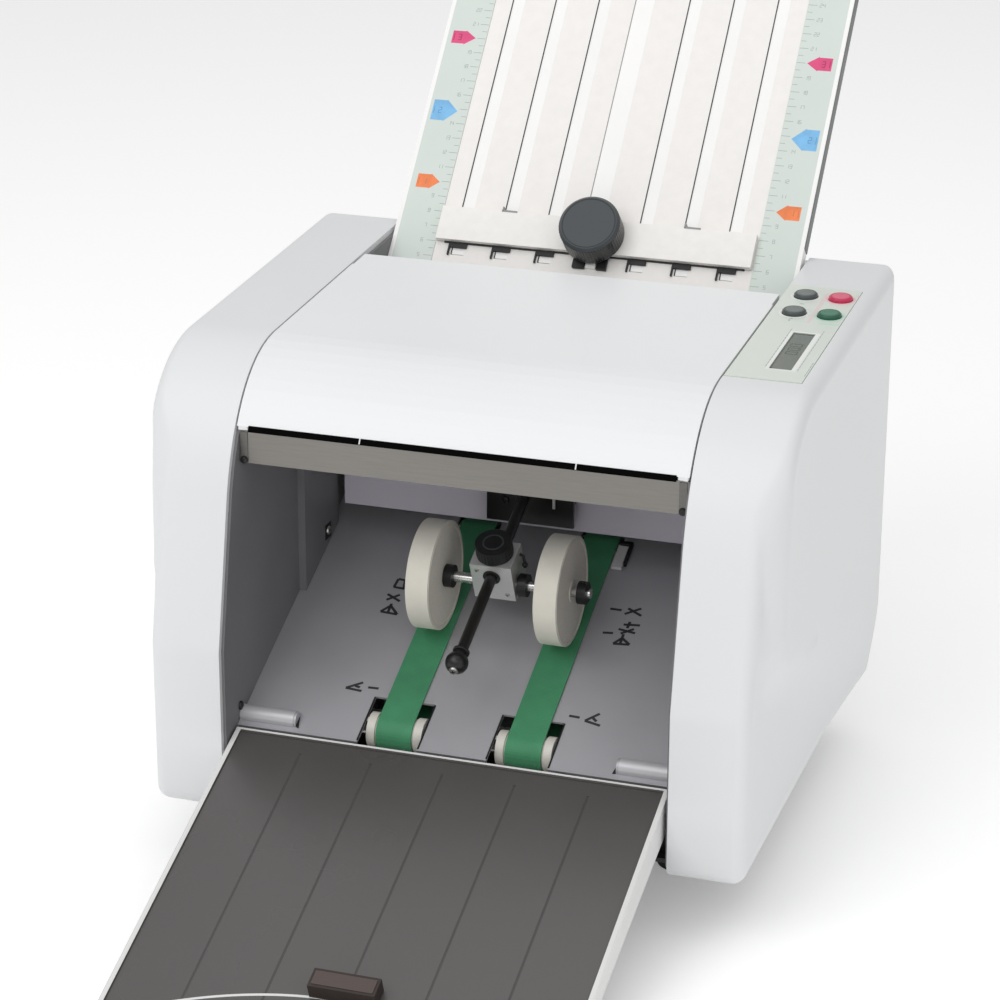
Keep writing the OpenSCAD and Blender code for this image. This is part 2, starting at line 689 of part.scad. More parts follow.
// ---- Upper fold plate ----
plate_mouth = -98;
slot_start = -48;
cavity_top = -plate_t;
cavity_bottom = cavity_top - paper_gap;
wall_x = plate_hw - 2.5;
edge_proud = 0.4;
module slots(y0, y1, z0, z1)
  for (k = slot_cols) translate([slot_x(k), 0, 0]) box_mid(slot_w / 2, y0, y1, z0, z1);
module upper_plate_base() color(cover_white) seat() on_plate() {
  box_mid(wall_x + eps, plate_mouth, plate_top, cavity_bottom - plate_t, cavity_bottom);
  both_sides() box(wall_x, plate_hw, plate_mouth + 20, plate_top + plate_end, -plate_under, edge_proud);
  box_mid(wall_x + eps, plate_top, plate_top + plate_end, -plate_under, edge_proud);
}
module upper_plate_grille() color(cover_white) seat() on_plate() difference() {
  box_mid(slats_hw - 0.1, plate_mouth, plate_top, -plate_t, 0);
  slots(slot_start, plate_top - 12, -plate_t - 1, 1);
}
module upper_scale_strips() color(pale_green) seat() on_plate()
  both_sides() box(slats_hw, wall_x, plate_mouth, plate_top, -plate_t, edge_proud);
module upper_stop_bar() color(cover_white) seat() on_plate() translate([0, stop_centre, 0]) difference() {
  union() {
    box_mid(slats_hw - 0.7, -stop_w / 2, stop_w / 2, bar_rest, bar_rest + stop_bar_h);
    for (k = slot_cols) translate([slot_x(k), 0, 0])
      box_mid(finger_w / 2, -stop_w / 2, -stop_w / 2 + finger_l, cavity_bottom + 0.4, bar_rest + 1);
  }
  translate([0, 0, -1]) cylinder(h = 10, r = knob_stem_r + run_gap);
}
knob_edge = 1.5;
module stop_knob() {
  translate([0, 0, bar_rest + 0.2]) cylinder(h = stop_bar_h + 2, r = knob_stem_r);
  translate([0, 0, bar_rest + stop_bar_h + touch_gap]) {
    cylinder(h = stop_knob_h - knob_edge, r = stop_knob_r);
    translate([0, 0, stop_knob_h - knob_edge - eps])
      cylinder(h = knob_edge, r1 = stop_knob_r, r2 = stop_knob_r - knob_edge);
  }
}
module upper_stop_knob() color([0.27, 0.30, 0.31]) seat() on_plate()
  translate([0, stop_centre, 0]) stop_knob();

// ---- Lower fold plate ----
lower_mouth = -14;
lower_hw2 = 118;
lower_half_t = paper_gap / 2 + plate_t;
module lower_fold_plate() color(steel) seat() on_lower() difference() {
  union() {
    box_mid(lower_hw2, lower_mouth - lower_plate_l, lower_mouth, -lower_half_t, lower_half_t);
    for (y = [lower_mouth - 30, lower_mouth - lower_plate_l + 10])
      box_mid(frame_x, y, y + 12, -paper_gap / 2 - plate_t, -paper_gap / 2);
  }
  box_mid(lower_hw2 - 3, lower_mouth - lower_plate_l + 4, lower_mouth + 1, -paper_gap / 2, paper_gap / 2);
  slots(lower_mouth - lower_plate_l + 14, lower_mouth - 20, -paper_gap / 2 - plate_t - 1, -paper_gap / 2 + eps);
}
// The lower stop faces the rear, so it is drawn turned over.
module on_lower_back() on_lower() translate([0, lower_stop_centre, -paper_gap / 2 - plate_t])
  rotate([0, 180, 0]) children();
module lower_stop_bar() color(dark_grey) seat() on_lower_back() difference() {
  union() {
    box_mid(slats_hw, -stop_w / 2, stop_w / 2, bar_rest, bar_rest + stop_bar_h);
    for (k = slot_cols) translate([slot_x(k), 0, 0])
      box_mid(finger_w / 2, stop_w / 2 - finger_l, stop_w / 2, -plate_t - paper_gap + 0.4, bar_rest + 1);
  }
  translate([0, 0, -1]) cylinder(h = 10, r = knob_stem_r + run_gap);
}
module lower_stop_knob() color(black) seat() on_lower_back() stop_knob();

// ---- Rollers and gears ----
module fold_roller(p) color(steel) seat() at(p) {
  rod_x(-barrel_hw, barrel_hw, roller_r);
  rod_x(-gear_x - gear_w, journal_end, journal_r);
}
module fold_roller_1() fold_roller(roller_1);
module fold_roller_2() color(steel) seat() at(roller_2) {
  rod_x(-barrel_hw, barrel_hw, roller_r);
  rod_x(-gear_x - gear_w, drive_belt_x + drive_belt_w + 1, journal_r);
}
module fold_roller_3() fold_roller(roller_3);
module fold_roller_4() fold_roller(roller_4);

// Straight-sided teeth with room to roll, on the pitch circle of the roller spacing.
tooth_out = 1.1;
tooth_in = 1.6;
gear_pitch_r = roller_c / 2;
function tooth(c, r0, r1, w0, w1) = [
  r0 * [cos(c - w0), sin(c - w0)], r1 * [cos(c - w1), sin(c - w1)],
  r1 * [cos(c + w1), sin(c + w1)], r0 * [cos(c + w0), sin(c + w0)]];
module gear(p, phase) color(dark_grey) seat() at(p) difference() {
  slab_x(-gear_x - gear_w, -gear_x)
    polygon([for (i = [0:gear_teeth - 1]) each tooth(phase + i * tooth_step,
      gear_pitch_r - tooth_in, gear_pitch_r + tooth_out, tooth_step * 0.25, tooth_step * 0.12)]);
  rod_x(-gear_x - gear_w - 1, -gear_x + 1, journal_r + run_gap);
}
module roller_gear_1() gear(roller_1, gear_phase_1);
module roller_gear_2() {
  gear(roller_2, gear_phase_2);
  color(dark_grey) seat() at(roller_2) difference() {
    rod_x(drive_belt_x - 0.6, drive_belt_x + drive_belt_w + 0.6, pulley_r);
    rod_x(drive_belt_x - 2, drive_belt_x + drive_belt_w + 2, journal_r + run_gap);
  }
}
module roller_gear_3() gear(roller_3, gear_phase_3);
module roller_gear_4() gear(roller_4, gear_phase_4);

module shaft_bearings() color([0.75, 0.62, 0.35]) seat()
  for (p = shaft_axes) at(p) both_sides() difference() {
    rod_x(bush_x0, bush_x1, bush_r);
    rod_x(bush_x0 - 1, bush_x1 + 1, journal_r + run_gap);
  }

// ---- Feed ----
feed_roller_hw = 30;
pad_hw = 20;
pad_half_l = 7;
pad_t = 1.2;
module feed_roller() color(dark_grey) seat() at(feed_axis) {
  rod_x(-journal_end, journal_end, journal_r);
  rod_x(-feed_roller_hw, feed_roller_hw, feed_roller_r);
}
module separator_pad() color([0.45, 0.3, 0.2]) seat() on_feed()
  box_mid(pad_hw, feed_roller_at[0] - pad_half_l, feed_roller_at[0] + pad_half_l, bed_z, bed_z + pad_t);

table_pivot = feed_point(hinge_at[0], hinge_at[1]);
table_t = 2;
table_rim = 3;
hinge_boss_r = 4.5;
tongue_hw = 84;
table_wide_end = table_front + table_wide_l;
module feed_table() color(cover_white) seat() on_feed() {
  box_mid(table_hw, table_front, table_wide_end, bed_z - table_t, bed_z);
  both_sides() box(table_hw, table_hw + table_t, table_front, table_wide_end,
                   bed_z - table_skirt, bed_z + table_rim);
  // narrower rear part under the sheets' tail
  box_mid(tongue_hw, table_wide_end - eps, table_front + table_l, bed_z - table_t, bed_z);
  both_sides() box(tongue_hw - table_t, tongue_hw, table_wide_end - table_t, table_front + table_l,
                   bed_z - table_skirt, bed_z - eps);
  both_sides() translate([0, hinge_at[0], hinge_at[1]]) {
    rod_x(table_hw, frame_x - touch_gap, hinge_boss_r);
    rod_x(frame_x - 1, frame_x + frame_t - 0.2, hinge_pin_r);
  }
  // arms from the hinge bosses to the table's side rims
  both_sides() box(table_hw, table_hw + table_t, hinge_at[0] - 3, table_front + 1,
                   bed_z - table_skirt + 1.5, bed_z - 0.5);
}
guide_t = 2;
guide_foot_w = 12;
guide_ends = [table_front + 6, table_wide_end - 6];
guide_tail = 34;
guide_tail_h = 7;
module paper_guide() on_feed() {
  slab_x(guide_x, guide_x + guide_t) translate([0, bed_z])
    polygon([[guide_ends[0], touch_gap], [guide_ends[1], touch_gap], [guide_ends[1], guide_tail_h],
             [guide_ends[1] - guide_tail, guide_h], [guide_ends[0], guide_h]]);
  box(guide_x - guide_foot_w, guide_x + eps, guide_ends[0], guide_ends[1], bed_z + touch_gap, bed_z + 1.5);
}
module paper_guide_left() color(pale_green) seat() mirror([1, 0, 0]) paper_guide();
module paper_guide_right() color(pale_green) seat() paper_guide();

// ---- Drive ----
module drive_motor() color(dark_grey) seat() at(motor_axis) difference() {
  union() {
    rod_x(frame_x - motor_l, frame_x, motor_r);
    box(frame_x - motor_foot[1], frame_x - motor_foot[0], -motor_r + motor_foot_inset,
        motor_r - motor_foot_inset, pan_z + pan_t - motor_axis[1], 0);
  }
  rod_x(frame_x - motor_bore, frame_x + 1, journal_r + run_gap);
}
module motor_pulley() color(steel) seat() at(motor_axis) {
  rod_x(frame_x - motor_bore + 1, drive_belt_x + drive_belt_w + 1, journal_r);
  rod_x(drive_belt_x - 0.6, drive_belt_x + drive_belt_w + 0.6, pulley_r);
}
drive_span = norm(roller_2 - motor_axis);
drive_tilt = atan2(roller_2[1] - motor_axis[1], roller_2[0] - motor_axis[0]);
module drive_belt() color(black) seat() at(motor_axis) rotate([drive_tilt, 0, 0])
  belt_loop(drive_belt_x, drive_belt_w, drive_span, pulley_r + touch_gap, drive_belt_t);

// ---- Controls ----
module button_places(col, row) seat() on_top()
  translate([button_cols[col], button_rows[row], 0]) children();
module control_panel() color(pale_green) seat() on_top() difference() {
  box(panel_x0, panel_x0 + panel_w, panel_front, panel_front + panel_l, panel_proud - panel_t, panel_proud);
  for (x = button_cols, y = button_rows) translate([x, y, -panel_t - 1])
    cylinder(h = panel_t + 3, r = button_r + button_fit);
  translate([lcd_at[0], lcd_at[1], 0])
    box_mid(lcd_w / 2 + lcd_fit, -lcd_l / 2 - lcd_fit, lcd_l / 2 + lcd_fit, -lcd_t, 2);
}
module lcd_window() color([0.5, 0.52, 0.49]) seat() on_top() translate([lcd_at[0], lcd_at[1], 0])
  box_mid(lcd_w / 2, -lcd_l / 2, lcd_l / 2, -lcd_t, 0);
button_edge = 0.8;
module button(c) color(c) {
  translate([0, 0, -panel_t]) cylinder(h = panel_t + button_h - button_edge, r = button_r);
  translate([0, 0, button_h - button_edge - eps])
    cylinder(h = button_edge, r1 = button_r, r2 = button_r - button_edge);
}
module button_rear_left() button_places(0, 1) button([0.33, 0.36, 0.35]);
module stop_button() button_places(1, 1) button([0.78, 0.24, 0.36]);
module button_front_left() button_places(0, 0) button([0.33, 0.36, 0.35]);
module start_button() button_places(1, 0) button([0.2, 0.41, 0.31]);

inlet_w = 27;
inlet_h = 20;
inlet_depth = 20;
inlet_socket = 14;
inlet_proud = 1.5;
inlet_wall = [2, 3];
switch_w = 13;
switch_h = 19;
rocker_tip = 6;
rocker_pin_r = 0.8;
rocker_pin_l = 1.6;
module inlet_place() translate([150, body_d, 42]) children();
module switch_place() translate([150, body_d, 76]) children();
module power_inlet() color(black) seat() inlet_place() difference() {
  box(-inlet_w / 2, inlet_w / 2, -inlet_depth, inlet_proud, -inlet_h / 2, inlet_h / 2);
  box(-inlet_w / 2 + inlet_wall[0], inlet_w / 2 - inlet_wall[0], -inlet_socket, inlet_proud + 1,
      -inlet_h / 2 + inlet_wall[1], inlet_h / 2 - inlet_wall[1]);
}
// The rocker turns on two small pins in the cover's cut-out and rests tipped one way.
module power_switch() color(black) seat() switch_place() translate([0, -cover_wall / 2, 0])
  rotate([-rocker_tip, 0, 0]) {
    slab_x(-switch_w / 2, switch_w / 2) intersection() {
      circle(switch_h / 2);
      polygon([[-7, -4], [-7, 4], [0, 12], [4, 12], [2.6, 0], [4, -12], [0, -12]]);
    }
    rod_x(-switch_w / 2 - rocker_pin_l, switch_w / 2 + rocker_pin_l, rocker_pin_r);
  }

base_pan();
rubber_feet();
side_frame_left();
side_frame_right();
left_cover();
right_cover();
top_cover();
rear_cover();
front_cross_bar();
rear_inner_panel();
exit_deck();
exit_belt_left();
exit_belt_right();
belt_idler_rollers();
belt_idler_shaft();
belt_drive_shaft();
stacker_rod();
stacker_bracket();
stacker_block();
stacker_lock_knob();
stacker_wheels();
stacker_tyres();
stacker_shaft();
stacker_collars();
exit_tray();
tray_hinge_pins();
tray_stop();
upper_plate_base();
upper_plate_grille();
upper_scale_strips();
upper_stop_bar();
upper_stop_knob();
lower_fold_plate();
lower_stop_bar();
lower_stop_knob();
fold_roller_1();
fold_roller_2();
fold_roller_3();
fold_roller_4();
roller_gear_1();
roller_gear_2();
roller_gear_3();
roller_gear_4();
shaft_bearings();
feed_roller();
separator_pad();
feed_table();
paper_guide_left();
paper_guide_right();
drive_motor();
motor_pulley();
drive_belt();
control_panel();
lcd_window();
button_rear_left();
stop_button();
button_front_left();
start_button();
power_inlet();
power_switch();
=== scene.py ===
"""Looks of the desktop paper folding machine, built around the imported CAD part."""
import math

import bmesh
import bpy
from mathutils import Matrix, Vector


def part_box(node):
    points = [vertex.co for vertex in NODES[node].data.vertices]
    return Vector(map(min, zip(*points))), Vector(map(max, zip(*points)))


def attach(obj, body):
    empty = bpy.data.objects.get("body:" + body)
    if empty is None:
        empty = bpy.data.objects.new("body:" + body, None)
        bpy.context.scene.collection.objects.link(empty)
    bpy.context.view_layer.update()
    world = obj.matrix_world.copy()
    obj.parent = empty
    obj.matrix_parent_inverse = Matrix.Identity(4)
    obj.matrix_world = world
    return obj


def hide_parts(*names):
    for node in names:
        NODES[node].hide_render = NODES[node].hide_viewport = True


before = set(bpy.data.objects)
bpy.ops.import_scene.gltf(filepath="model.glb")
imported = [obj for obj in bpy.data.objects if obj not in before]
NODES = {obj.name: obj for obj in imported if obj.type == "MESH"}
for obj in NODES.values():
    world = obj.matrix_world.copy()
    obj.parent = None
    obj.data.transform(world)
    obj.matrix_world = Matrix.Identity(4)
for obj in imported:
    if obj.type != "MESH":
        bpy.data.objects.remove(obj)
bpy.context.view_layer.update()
MM = 0.001


# ---------------------------------------------------------------- places
# All sizes are in mm. The side view's zero is the covers' lower front edge, and the frame's zero lies
# on the floor, under the middle of the part's box.
BAR_FRONT_Y = 33.0
CENTRE_Y = BAR_FRONT_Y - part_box("front_cross_bar")[0].y / MM
FOOT_H = 35.0
OPENING_HW = 127.0
FRAME_HW = 125.4
SHOULDER, REAR_TOP = (87.0, 252.0), (296.0, 260.0)
DECK_ANGLE, TRAY_ANGLE, PLATE_ANGLE, FEED_ANGLE = 24, 20.3, 47.2, 20


def point(x, y, z):
    """A point given from the covers' lower front edge, in mm, as a point in the frame."""
    return Vector((x * MM, (y - CENTRE_Y) * MM, (z + FOOT_H) * MM))


def local(y, z, angle):
    """The matrix of a tilted local frame: X across, Y up the slope, Z out of it, in mm."""
    tilt = Matrix.Rotation(math.radians(angle), 4, "X")
    return Matrix.Translation(point(0, y, z)) @ tilt @ Matrix.Scale(MM, 4)


BODY = local(0, 0, 0)
DECK = local(30, 49.4, DECK_ANGLE)
TRAY = local(15.4, 44.1, TRAY_ANGLE)
PLATE = local(303.4, 283.9, PLATE_ANGLE)
FEED = local(246.56, 175.06, FEED_ANGLE)
TOP = local(*SHOULDER, math.degrees(math.atan2(REAR_TOP[1] - SHOULDER[1], REAR_TOP[0] - SHOULDER[0])))
# Turns a drawn side view, with y along and z up, into a piece that runs across
SIDE_PLANE = Matrix(((0, 0, 1, 0), (1, 0, 0, 0), (0, 1, 0, 0), (0, 0, 0, 1)))


# ---------------------------------------------------------------- materials
NOISE_SPAN = (0.3, 0.7)
FINE = 0.0002                # bump distance of a usual grain, in m
COAT_ROUGH = 0.15
WEAVE_SCALE = 330


def new_material(name):
    """An empty material with a principled shader."""
    m = bpy.data.materials.new(name)
    m.use_nodes = True
    nt = m.node_tree
    nt.nodes.clear()
    out = nt.nodes.new("ShaderNodeOutputMaterial")
    bsdf = nt.nodes.new("ShaderNodeBsdfPrincipled")
    nt.links.new(bsdf.outputs[0], out.inputs[0])
    return m, nt, bsdf


def coords(nt, stretch=(1, 1, 1)):
    """The object's own coordinates, stretched."""
    tc = nt.nodes.new("ShaderNodeTexCoord")
    mp = nt.nodes.new("ShaderNodeMapping")
    mp.inputs["Scale"].default_value = stretch
    nt.links.new(tc.outputs["Object"], mp.inputs[0])
    return mp.outputs[0]


def noise(nt, vec, scale, detail=3.0, rough=0.55):
    n = nt.nodes.new("ShaderNodeTexNoise")
    n.inputs["Scale"].default_value = scale
    n.inputs["Detail"].default_value = detail
    n.inputs["Roughness"].default_value = rough
    nt.links.new(vec, n.inputs["Vector"])
    return n.outputs[0]


def tone(nt, fac, color, low, high, span=NOISE_SPAN):
    """A colour that runs from low to high times its own value while fac runs through a span."""
    r = nt.nodes.new("ShaderNodeValToRGB")
    for stop, position, k in zip(r.color_ramp.elements, span, (low, high)):
        stop.position, stop.color = position, (*shade(color, k), 1)
    nt.links.new(fac, r.inputs[0])
    return r.outputs[0]


def to_range(nt, fac, lo, hi):
    """Maps a noise, whose values lie mostly in NOISE_SPAN, to a range."""
    r = nt.nodes.new("ShaderNodeMapRange")
    r.inputs["From Min"].default_value = NOISE_SPAN[0]
    r.inputs["From Max"].default_value = NOISE_SPAN[1]
    r.inputs["To Min"].default_value = lo
    r.inputs["To Max"].default_value = hi
    nt.links.new(fac, r.inputs[0])
    return r.outputs[0]


def bump(nt, bsdf, height, strength, distance):
    b = nt.nodes.new("ShaderNodeBump")
    b.inputs["Strength"].default_value = strength
    b.inputs["Distance"].default_value = distance
    nt.links.new(height, b.inputs["Height"])
    nt.links.new(b.outputs[0], bsdf.inputs["Normal"])


def shade(c, k):
    return tuple(min(1.0, v * k) for v in c)


def plain(name, color, rough, metal=0.0, grain=900, grain_bump=0.05, depth=FINE, drift=0.03,
          drift_scale=9, coat=0.0, ior=1.45):
    """A finished surface: slow colour drift, a fine grain in the bump, and uneven gloss."""
    m, nt, bsdf = new_material(name)
    vec = coords(nt)
    slow = noise(nt, vec, drift_scale, 4)
    fine = noise(nt, vec, grain, 2)
    nt.links.new(tone(nt, slow, color, 1 - drift, 1 + drift), bsdf.inputs["Base Color"])
    nt.links.new(to_range(nt, slow, rough - 0.06, rough + 0.06), bsdf.inputs["Roughness"])
    bsdf.inputs["Metallic"].default_value = metal
    bsdf.inputs["IOR"].default_value = ior
    bsdf.inputs["Coat Weight"].default_value = coat
    bsdf.inputs["Coat Roughness"].default_value = COAT_ROUGH
    bump(nt, bsdf, fine, grain_bump, depth)
    return m


def brushed(name, color, rough, stretch, scale=60, contrast=0.10, metal=1.0):
    """Metal with fine lines along one direction: the stretch is small along the lines."""
    m, nt, bsdf = new_material(name)
    lines = noise(nt, coords(nt, stretch), scale, 6, 0.7)
    slow = noise(nt, coords(nt), 12, 2)
    nt.links.new(tone(nt, lines, color, 1 - contrast, 1 + contrast), bsdf.inputs["Base Color"])
    mix = nt.nodes.new("ShaderNodeMath")
    mix.operation = "ADD"
    nt.links.new(to_range(nt, lines, rough - 0.05, rough + 0.08), mix.inputs[0])
    nt.links.new(to_range(nt, slow, -0.03, 0.03), mix.inputs[1])
    nt.links.new(mix.outputs[0], bsdf.inputs["Roughness"])
    bsdf.inputs["Metallic"].default_value = metal
    bump(nt, bsdf, lines, 0.12, FINE)
    return m


def woven(name, color, rough):
    """A coated fabric belt: a fine square weave in bump and tone, running with the deck's slope."""
    m, nt, bsdf = new_material(name)
    tc = nt.nodes.new("ShaderNodeTexCoord")
    mp = nt.nodes.new("ShaderNodeMapping")
    mp.inputs["Rotation"].default_value = (math.radians(-DECK_ANGLE), 0, 0)
    nt.links.new(tc.outputs["Object"], mp.inputs[0])
    waves = []
    for direction in ("X", "Y"):
        w = nt.nodes.new("ShaderNodeTexWave")
        w.bands_direction = direction
        w.inputs["Scale"].default_value = WEAVE_SCALE
        w.inputs["Distortion"].default_value = 0.4
        nt.links.new(mp.outputs[0], w.inputs["Vector"])
        waves.append(w.outputs["Fac"])
    mul = nt.nodes.new("ShaderNodeMath")
    mul.operation = "MULTIPLY"
    nt.links.new(waves[0], mul.inputs[0])
    nt.links.new(waves[1], mul.inputs[1])
    slow = noise(nt, mp.outputs[0], 35, 5, 0.6)
    add = nt.nodes.new("ShaderNodeMath")
    add.operation = "MULTIPLY_ADD"
    nt.links.new(mul.outputs[0], add.inputs[0])
    add.inputs[1].default_value = 0.22
    nt.links.new(slow, add.inputs[2])
    nt.links.new(tone(nt, add.outputs[0], color, 0.82, 1.15, (0.3, 0.8)), bsdf.inputs["Base Color"])
    bsdf.inputs["Roughness"].default_value = rough
    bsdf.inputs["Sheen Weight"].default_value = 0.15
    bump(nt, bsdf, mul.outputs[0], 0.35, FINE)
    return m


WHITE = (0.80, 0.81, 0.82)
LOOKS = {
    "cover": plain("cover_plastic", WHITE, 0.42, grain=1500, grain_bump=0.10, depth=0.0001, drift=0.012,
                   drift_scale=5, coat=0.05),
    # The side covers take the cover white darkened by 0.92: painted shade on their side faces
    "cover_shaded_side": plain("cover_plastic_painted_shade", shade(WHITE, 0.92), 0.42, grain=1500, grain_bump=0.10,
                        depth=0.0001, drift=0.012, drift_scale=5, coat=0.05),
    "pan": plain("pan_coat", (0.05, 0.05, 0.055), 0.6, grain=700, grain_bump=0.2),
    "frame": plain("frame_coat", (0.185, 0.18, 0.19), 0.48, grain=1100, grain_bump=0.15, drift=0.08,
                   drift_scale=14),
    "foot": plain("foot_rubber", (0.012, 0.012, 0.012), 0.8, grain=600, grain_bump=0.25),
    "bar": brushed("bar_brushed", (0.23, 0.22, 0.205), 0.36, (3, 60, 60), 12, 0.10),
    "panel": plain("panel_coat", (0.75, 0.71, 0.80), 0.5, grain=900, grain_bump=0.08, drift=0.04),
    "deck": plain("deck_coat", (0.455, 0.45, 0.475), 0.42, metal=0.3, grain=1300, grain_bump=0.10,
                  drift=0.05, drift_scale=11),
    "belt": woven("belt_weave", (0.050, 0.27, 0.125), 0.62),
    "roller": plain("roller_cream", (0.66, 0.64, 0.58), 0.45, drift=0.05, drift_scale=40),
    "shaft": brushed("shaft_ground", (0.60, 0.59, 0.58), 0.24, (30, 3, 3), 40, 0.08),
    "black_metal": plain("black_metal", (0.010, 0.009, 0.009), 0.33, grain=900, grain_bump=0.08),
    "block": brushed("block_machined", (0.64, 0.64, 0.63), 0.36, (8, 30, 60), 40, 0.05, metal=0.6),
    # black plastic, and black painted shadow in some small pieces
    "black": plain("black_plastic", (0.009, 0.009, 0.010), 0.45, grain=1200, grain_bump=0.12),
    "wheel": brushed("wheel_face", (0.82, 0.78, 0.70), 0.5, (14, 14, 60), 30, 0.10, metal=0.05),
    "tyre": plain("tyre_cream", (0.74, 0.71, 0.63), 0.62, grain=500, grain_bump=0.25, drift=0.05,
                  drift_scale=60),
    "tray": plain("tray_plastic", (0.080, 0.075, 0.073), 0.30, grain=1400, grain_bump=0.20, drift=0.05,
                  drift_scale=7, ior=1.62),
    "brown": plain("stop_brown", (0.038, 0.027, 0.024), 0.6, grain=900, grain_bump=0.15),
    "plate": plain("plate_white", (0.92, 0.915, 0.905), 0.45, grain=1100, grain_bump=0.12, drift=0.02,
                   drift_scale=25),
    "slat": plain("slat_white", (0.87, 0.845, 0.82), 0.5, grain=380, grain_bump=0.18, drift=0.02,
                  drift_scale=140),
    "strip": plain("scale_strip", (0.655, 0.715, 0.675), 0.36, grain=1200, grain_bump=0.05, drift=0.02,
                   drift_scale=18),
    "stopbar": plain("stop_bar_white", (0.885, 0.865, 0.835), 0.55, grain=260, grain_bump=0.3, drift=0.025,
                     drift_scale=160),
    "knob": plain("knob_slate", (0.052, 0.062, 0.068), 0.42, grain=1300, grain_bump=0.15, drift=0.05),
    "rubber": plain("roller_rubber", (0.05, 0.05, 0.052), 0.55, grain=1500, grain_bump=0.2),
    "gear": plain("gear_plastic", (0.045, 0.045, 0.05), 0.5),
    "brass": plain("bush_brass", (0.60, 0.43, 0.18), 0.35, metal=1.0, grain=800, drift=0.06,
                   drift_scale=60),
    "pad": plain("pad_rubber", (0.16, 0.07, 0.04), 0.7, grain=600, grain_bump=0.3),
    "motor": plain("motor_coat", (0.05, 0.05, 0.055), 0.4),
    "pulley": brushed("pulley_turned", (0.6, 0.6, 0.6), 0.3, (60, 3, 3), 30, 0.08),
    "belt_black": plain("drive_belt", (0.012, 0.012, 0.012), 0.6, grain=500, grain_bump=0.3),
    "overlay": plain("panel_overlay", (0.675, 0.725, 0.665), 0.33, grain=900, grain_bump=0.04, drift=0.015,
                     drift_scale=20),
    "lcd": plain("lcd_window", (0.115, 0.13, 0.108), 0.22, grain=700, grain_bump=0.02, drift=0.10,
                 drift_scale=55, coat=0.15),
    "key_dark": plain("key_dark", (0.060, 0.075, 0.072), 0.33, drift=0.08, drift_scale=120),
    "key_red": plain("key_red", (0.56, 0.030, 0.095), 0.30, drift=0.06, drift_scale=120),
    "key_green": plain("key_green", (0.020, 0.105, 0.062), 0.30, drift=0.08, drift_scale=120),
    "ink": plain("ink_dark", (0.035, 0.035, 0.038), 0.5),
    "ink_grey": plain("ink_grey", (0.36, 0.40, 0.38), 0.5),
    "ink_orange": plain("ink_orange", (0.86, 0.23, 0.075), 0.42, drift=0.10, drift_scale=160),
    "ink_blue": plain("ink_blue", (0.20, 0.48, 0.78), 0.42, drift=0.10, drift_scale=160),
    "ink_pink": plain("ink_pink", (0.72, 0.075, 0.22), 0.42, drift=0.10, drift_scale=160),
    "ink_rose": plain("ink_rose", (0.80, 0.56, 0.58), 0.42),
    "ink_mint": plain("ink_mint", (0.50, 0.72, 0.60), 0.42),
    "ink_light": plain("ink_light", (0.80, 0.81, 0.79), 0.42),
    "screw": brushed("screw_steel", (0.55, 0.54, 0.52), 0.3, (20, 20, 20), 60, 0.1),
    "screw_dark": plain("screw_dark", (0.03, 0.03, 0.03), 0.3, metal=0.6),
    "tab_white": plain("tab_white", (0.70, 0.69, 0.70), 0.4),
    "tab_light": plain("tab_light", (0.52, 0.52, 0.54), 0.35, metal=0.2, drift=0.05),
    # near black, for the painted shadow along the slots' left walls
    "slot_shade": plain("slot_painted_shadow", (0.045, 0.045, 0.047), 0.55),
    # black with no gloss, for the painted shadow gap under the lid's lip
    "shadow_gap_black": plain("shadow_gap_black", (0.003, 0.003, 0.003), 0.9, ior=1.05),
    "ink_soft": plain("ink_soft", (0.30, 0.30, 0.30), 0.5),
    # dark grey, also the painted shade on the fold plate's outer right face
    "trim_and_shade": plain("edge_trim_and_painted_shade", (0.16, 0.17, 0.165), 0.5, drift=0.06, drift_scale=30),
    "ink_orange_deep": plain("ink_orange_deep", (0.62, 0.20, 0.10), 0.42),
    "ink_blue_deep": plain("ink_blue_deep", (0.12, 0.33, 0.58), 0.42),
    "ink_pink_deep": plain("ink_pink_deep", (0.42, 0.03, 0.11), 0.42),
    "ink_rose_pale": plain("ink_rose_pale", (0.72, 0.63, 0.62), 0.42),
    "knob_side": plain("knob_side", (0.012, 0.013, 0.014), 0.30, grain=1300, grain_bump=0.1),
    # light grey, for the tray's painted highlights and its end arc
    "tray_edge": plain("tray_edge", (0.74, 0.74, 0.73), 0.4, drift=0.03),
    # the tray's colour darkened, for the painted shade in its grooves
    "tray_groove_shade": plain("tray_groove_shade", (0.066, 0.062, 0.060), 0.4),
    # the stop's brown made lighter, for painted light on its top face
    "brown_lit_top": plain("stop_brown_painted_light", (0.085, 0.062, 0.055), 0.45, grain=900, grain_bump=0.2),
    "bracket_dark": brushed("bracket_dark", (0.17, 0.165, 0.155), 0.42, (3, 60, 60), 12, 0.10),
    # the display's dark digits, and the painted shadow along its window's edges
    "lcd_ink_and_shade": plain("lcd_ink_and_shade", (0.075, 0.085, 0.07), 0.3),
    # Lighter copies of the keys' colours: painted highlights on the keys' tops
    "key_dark_face": plain("key_dark_face", (0.15, 0.17, 0.165), 0.30),
    "key_red_face": plain("key_red_face", (0.72, 0.13, 0.21), 0.30),
    "key_green_face": plain("key_green_face", (0.055, 0.20, 0.125), 0.30),
}

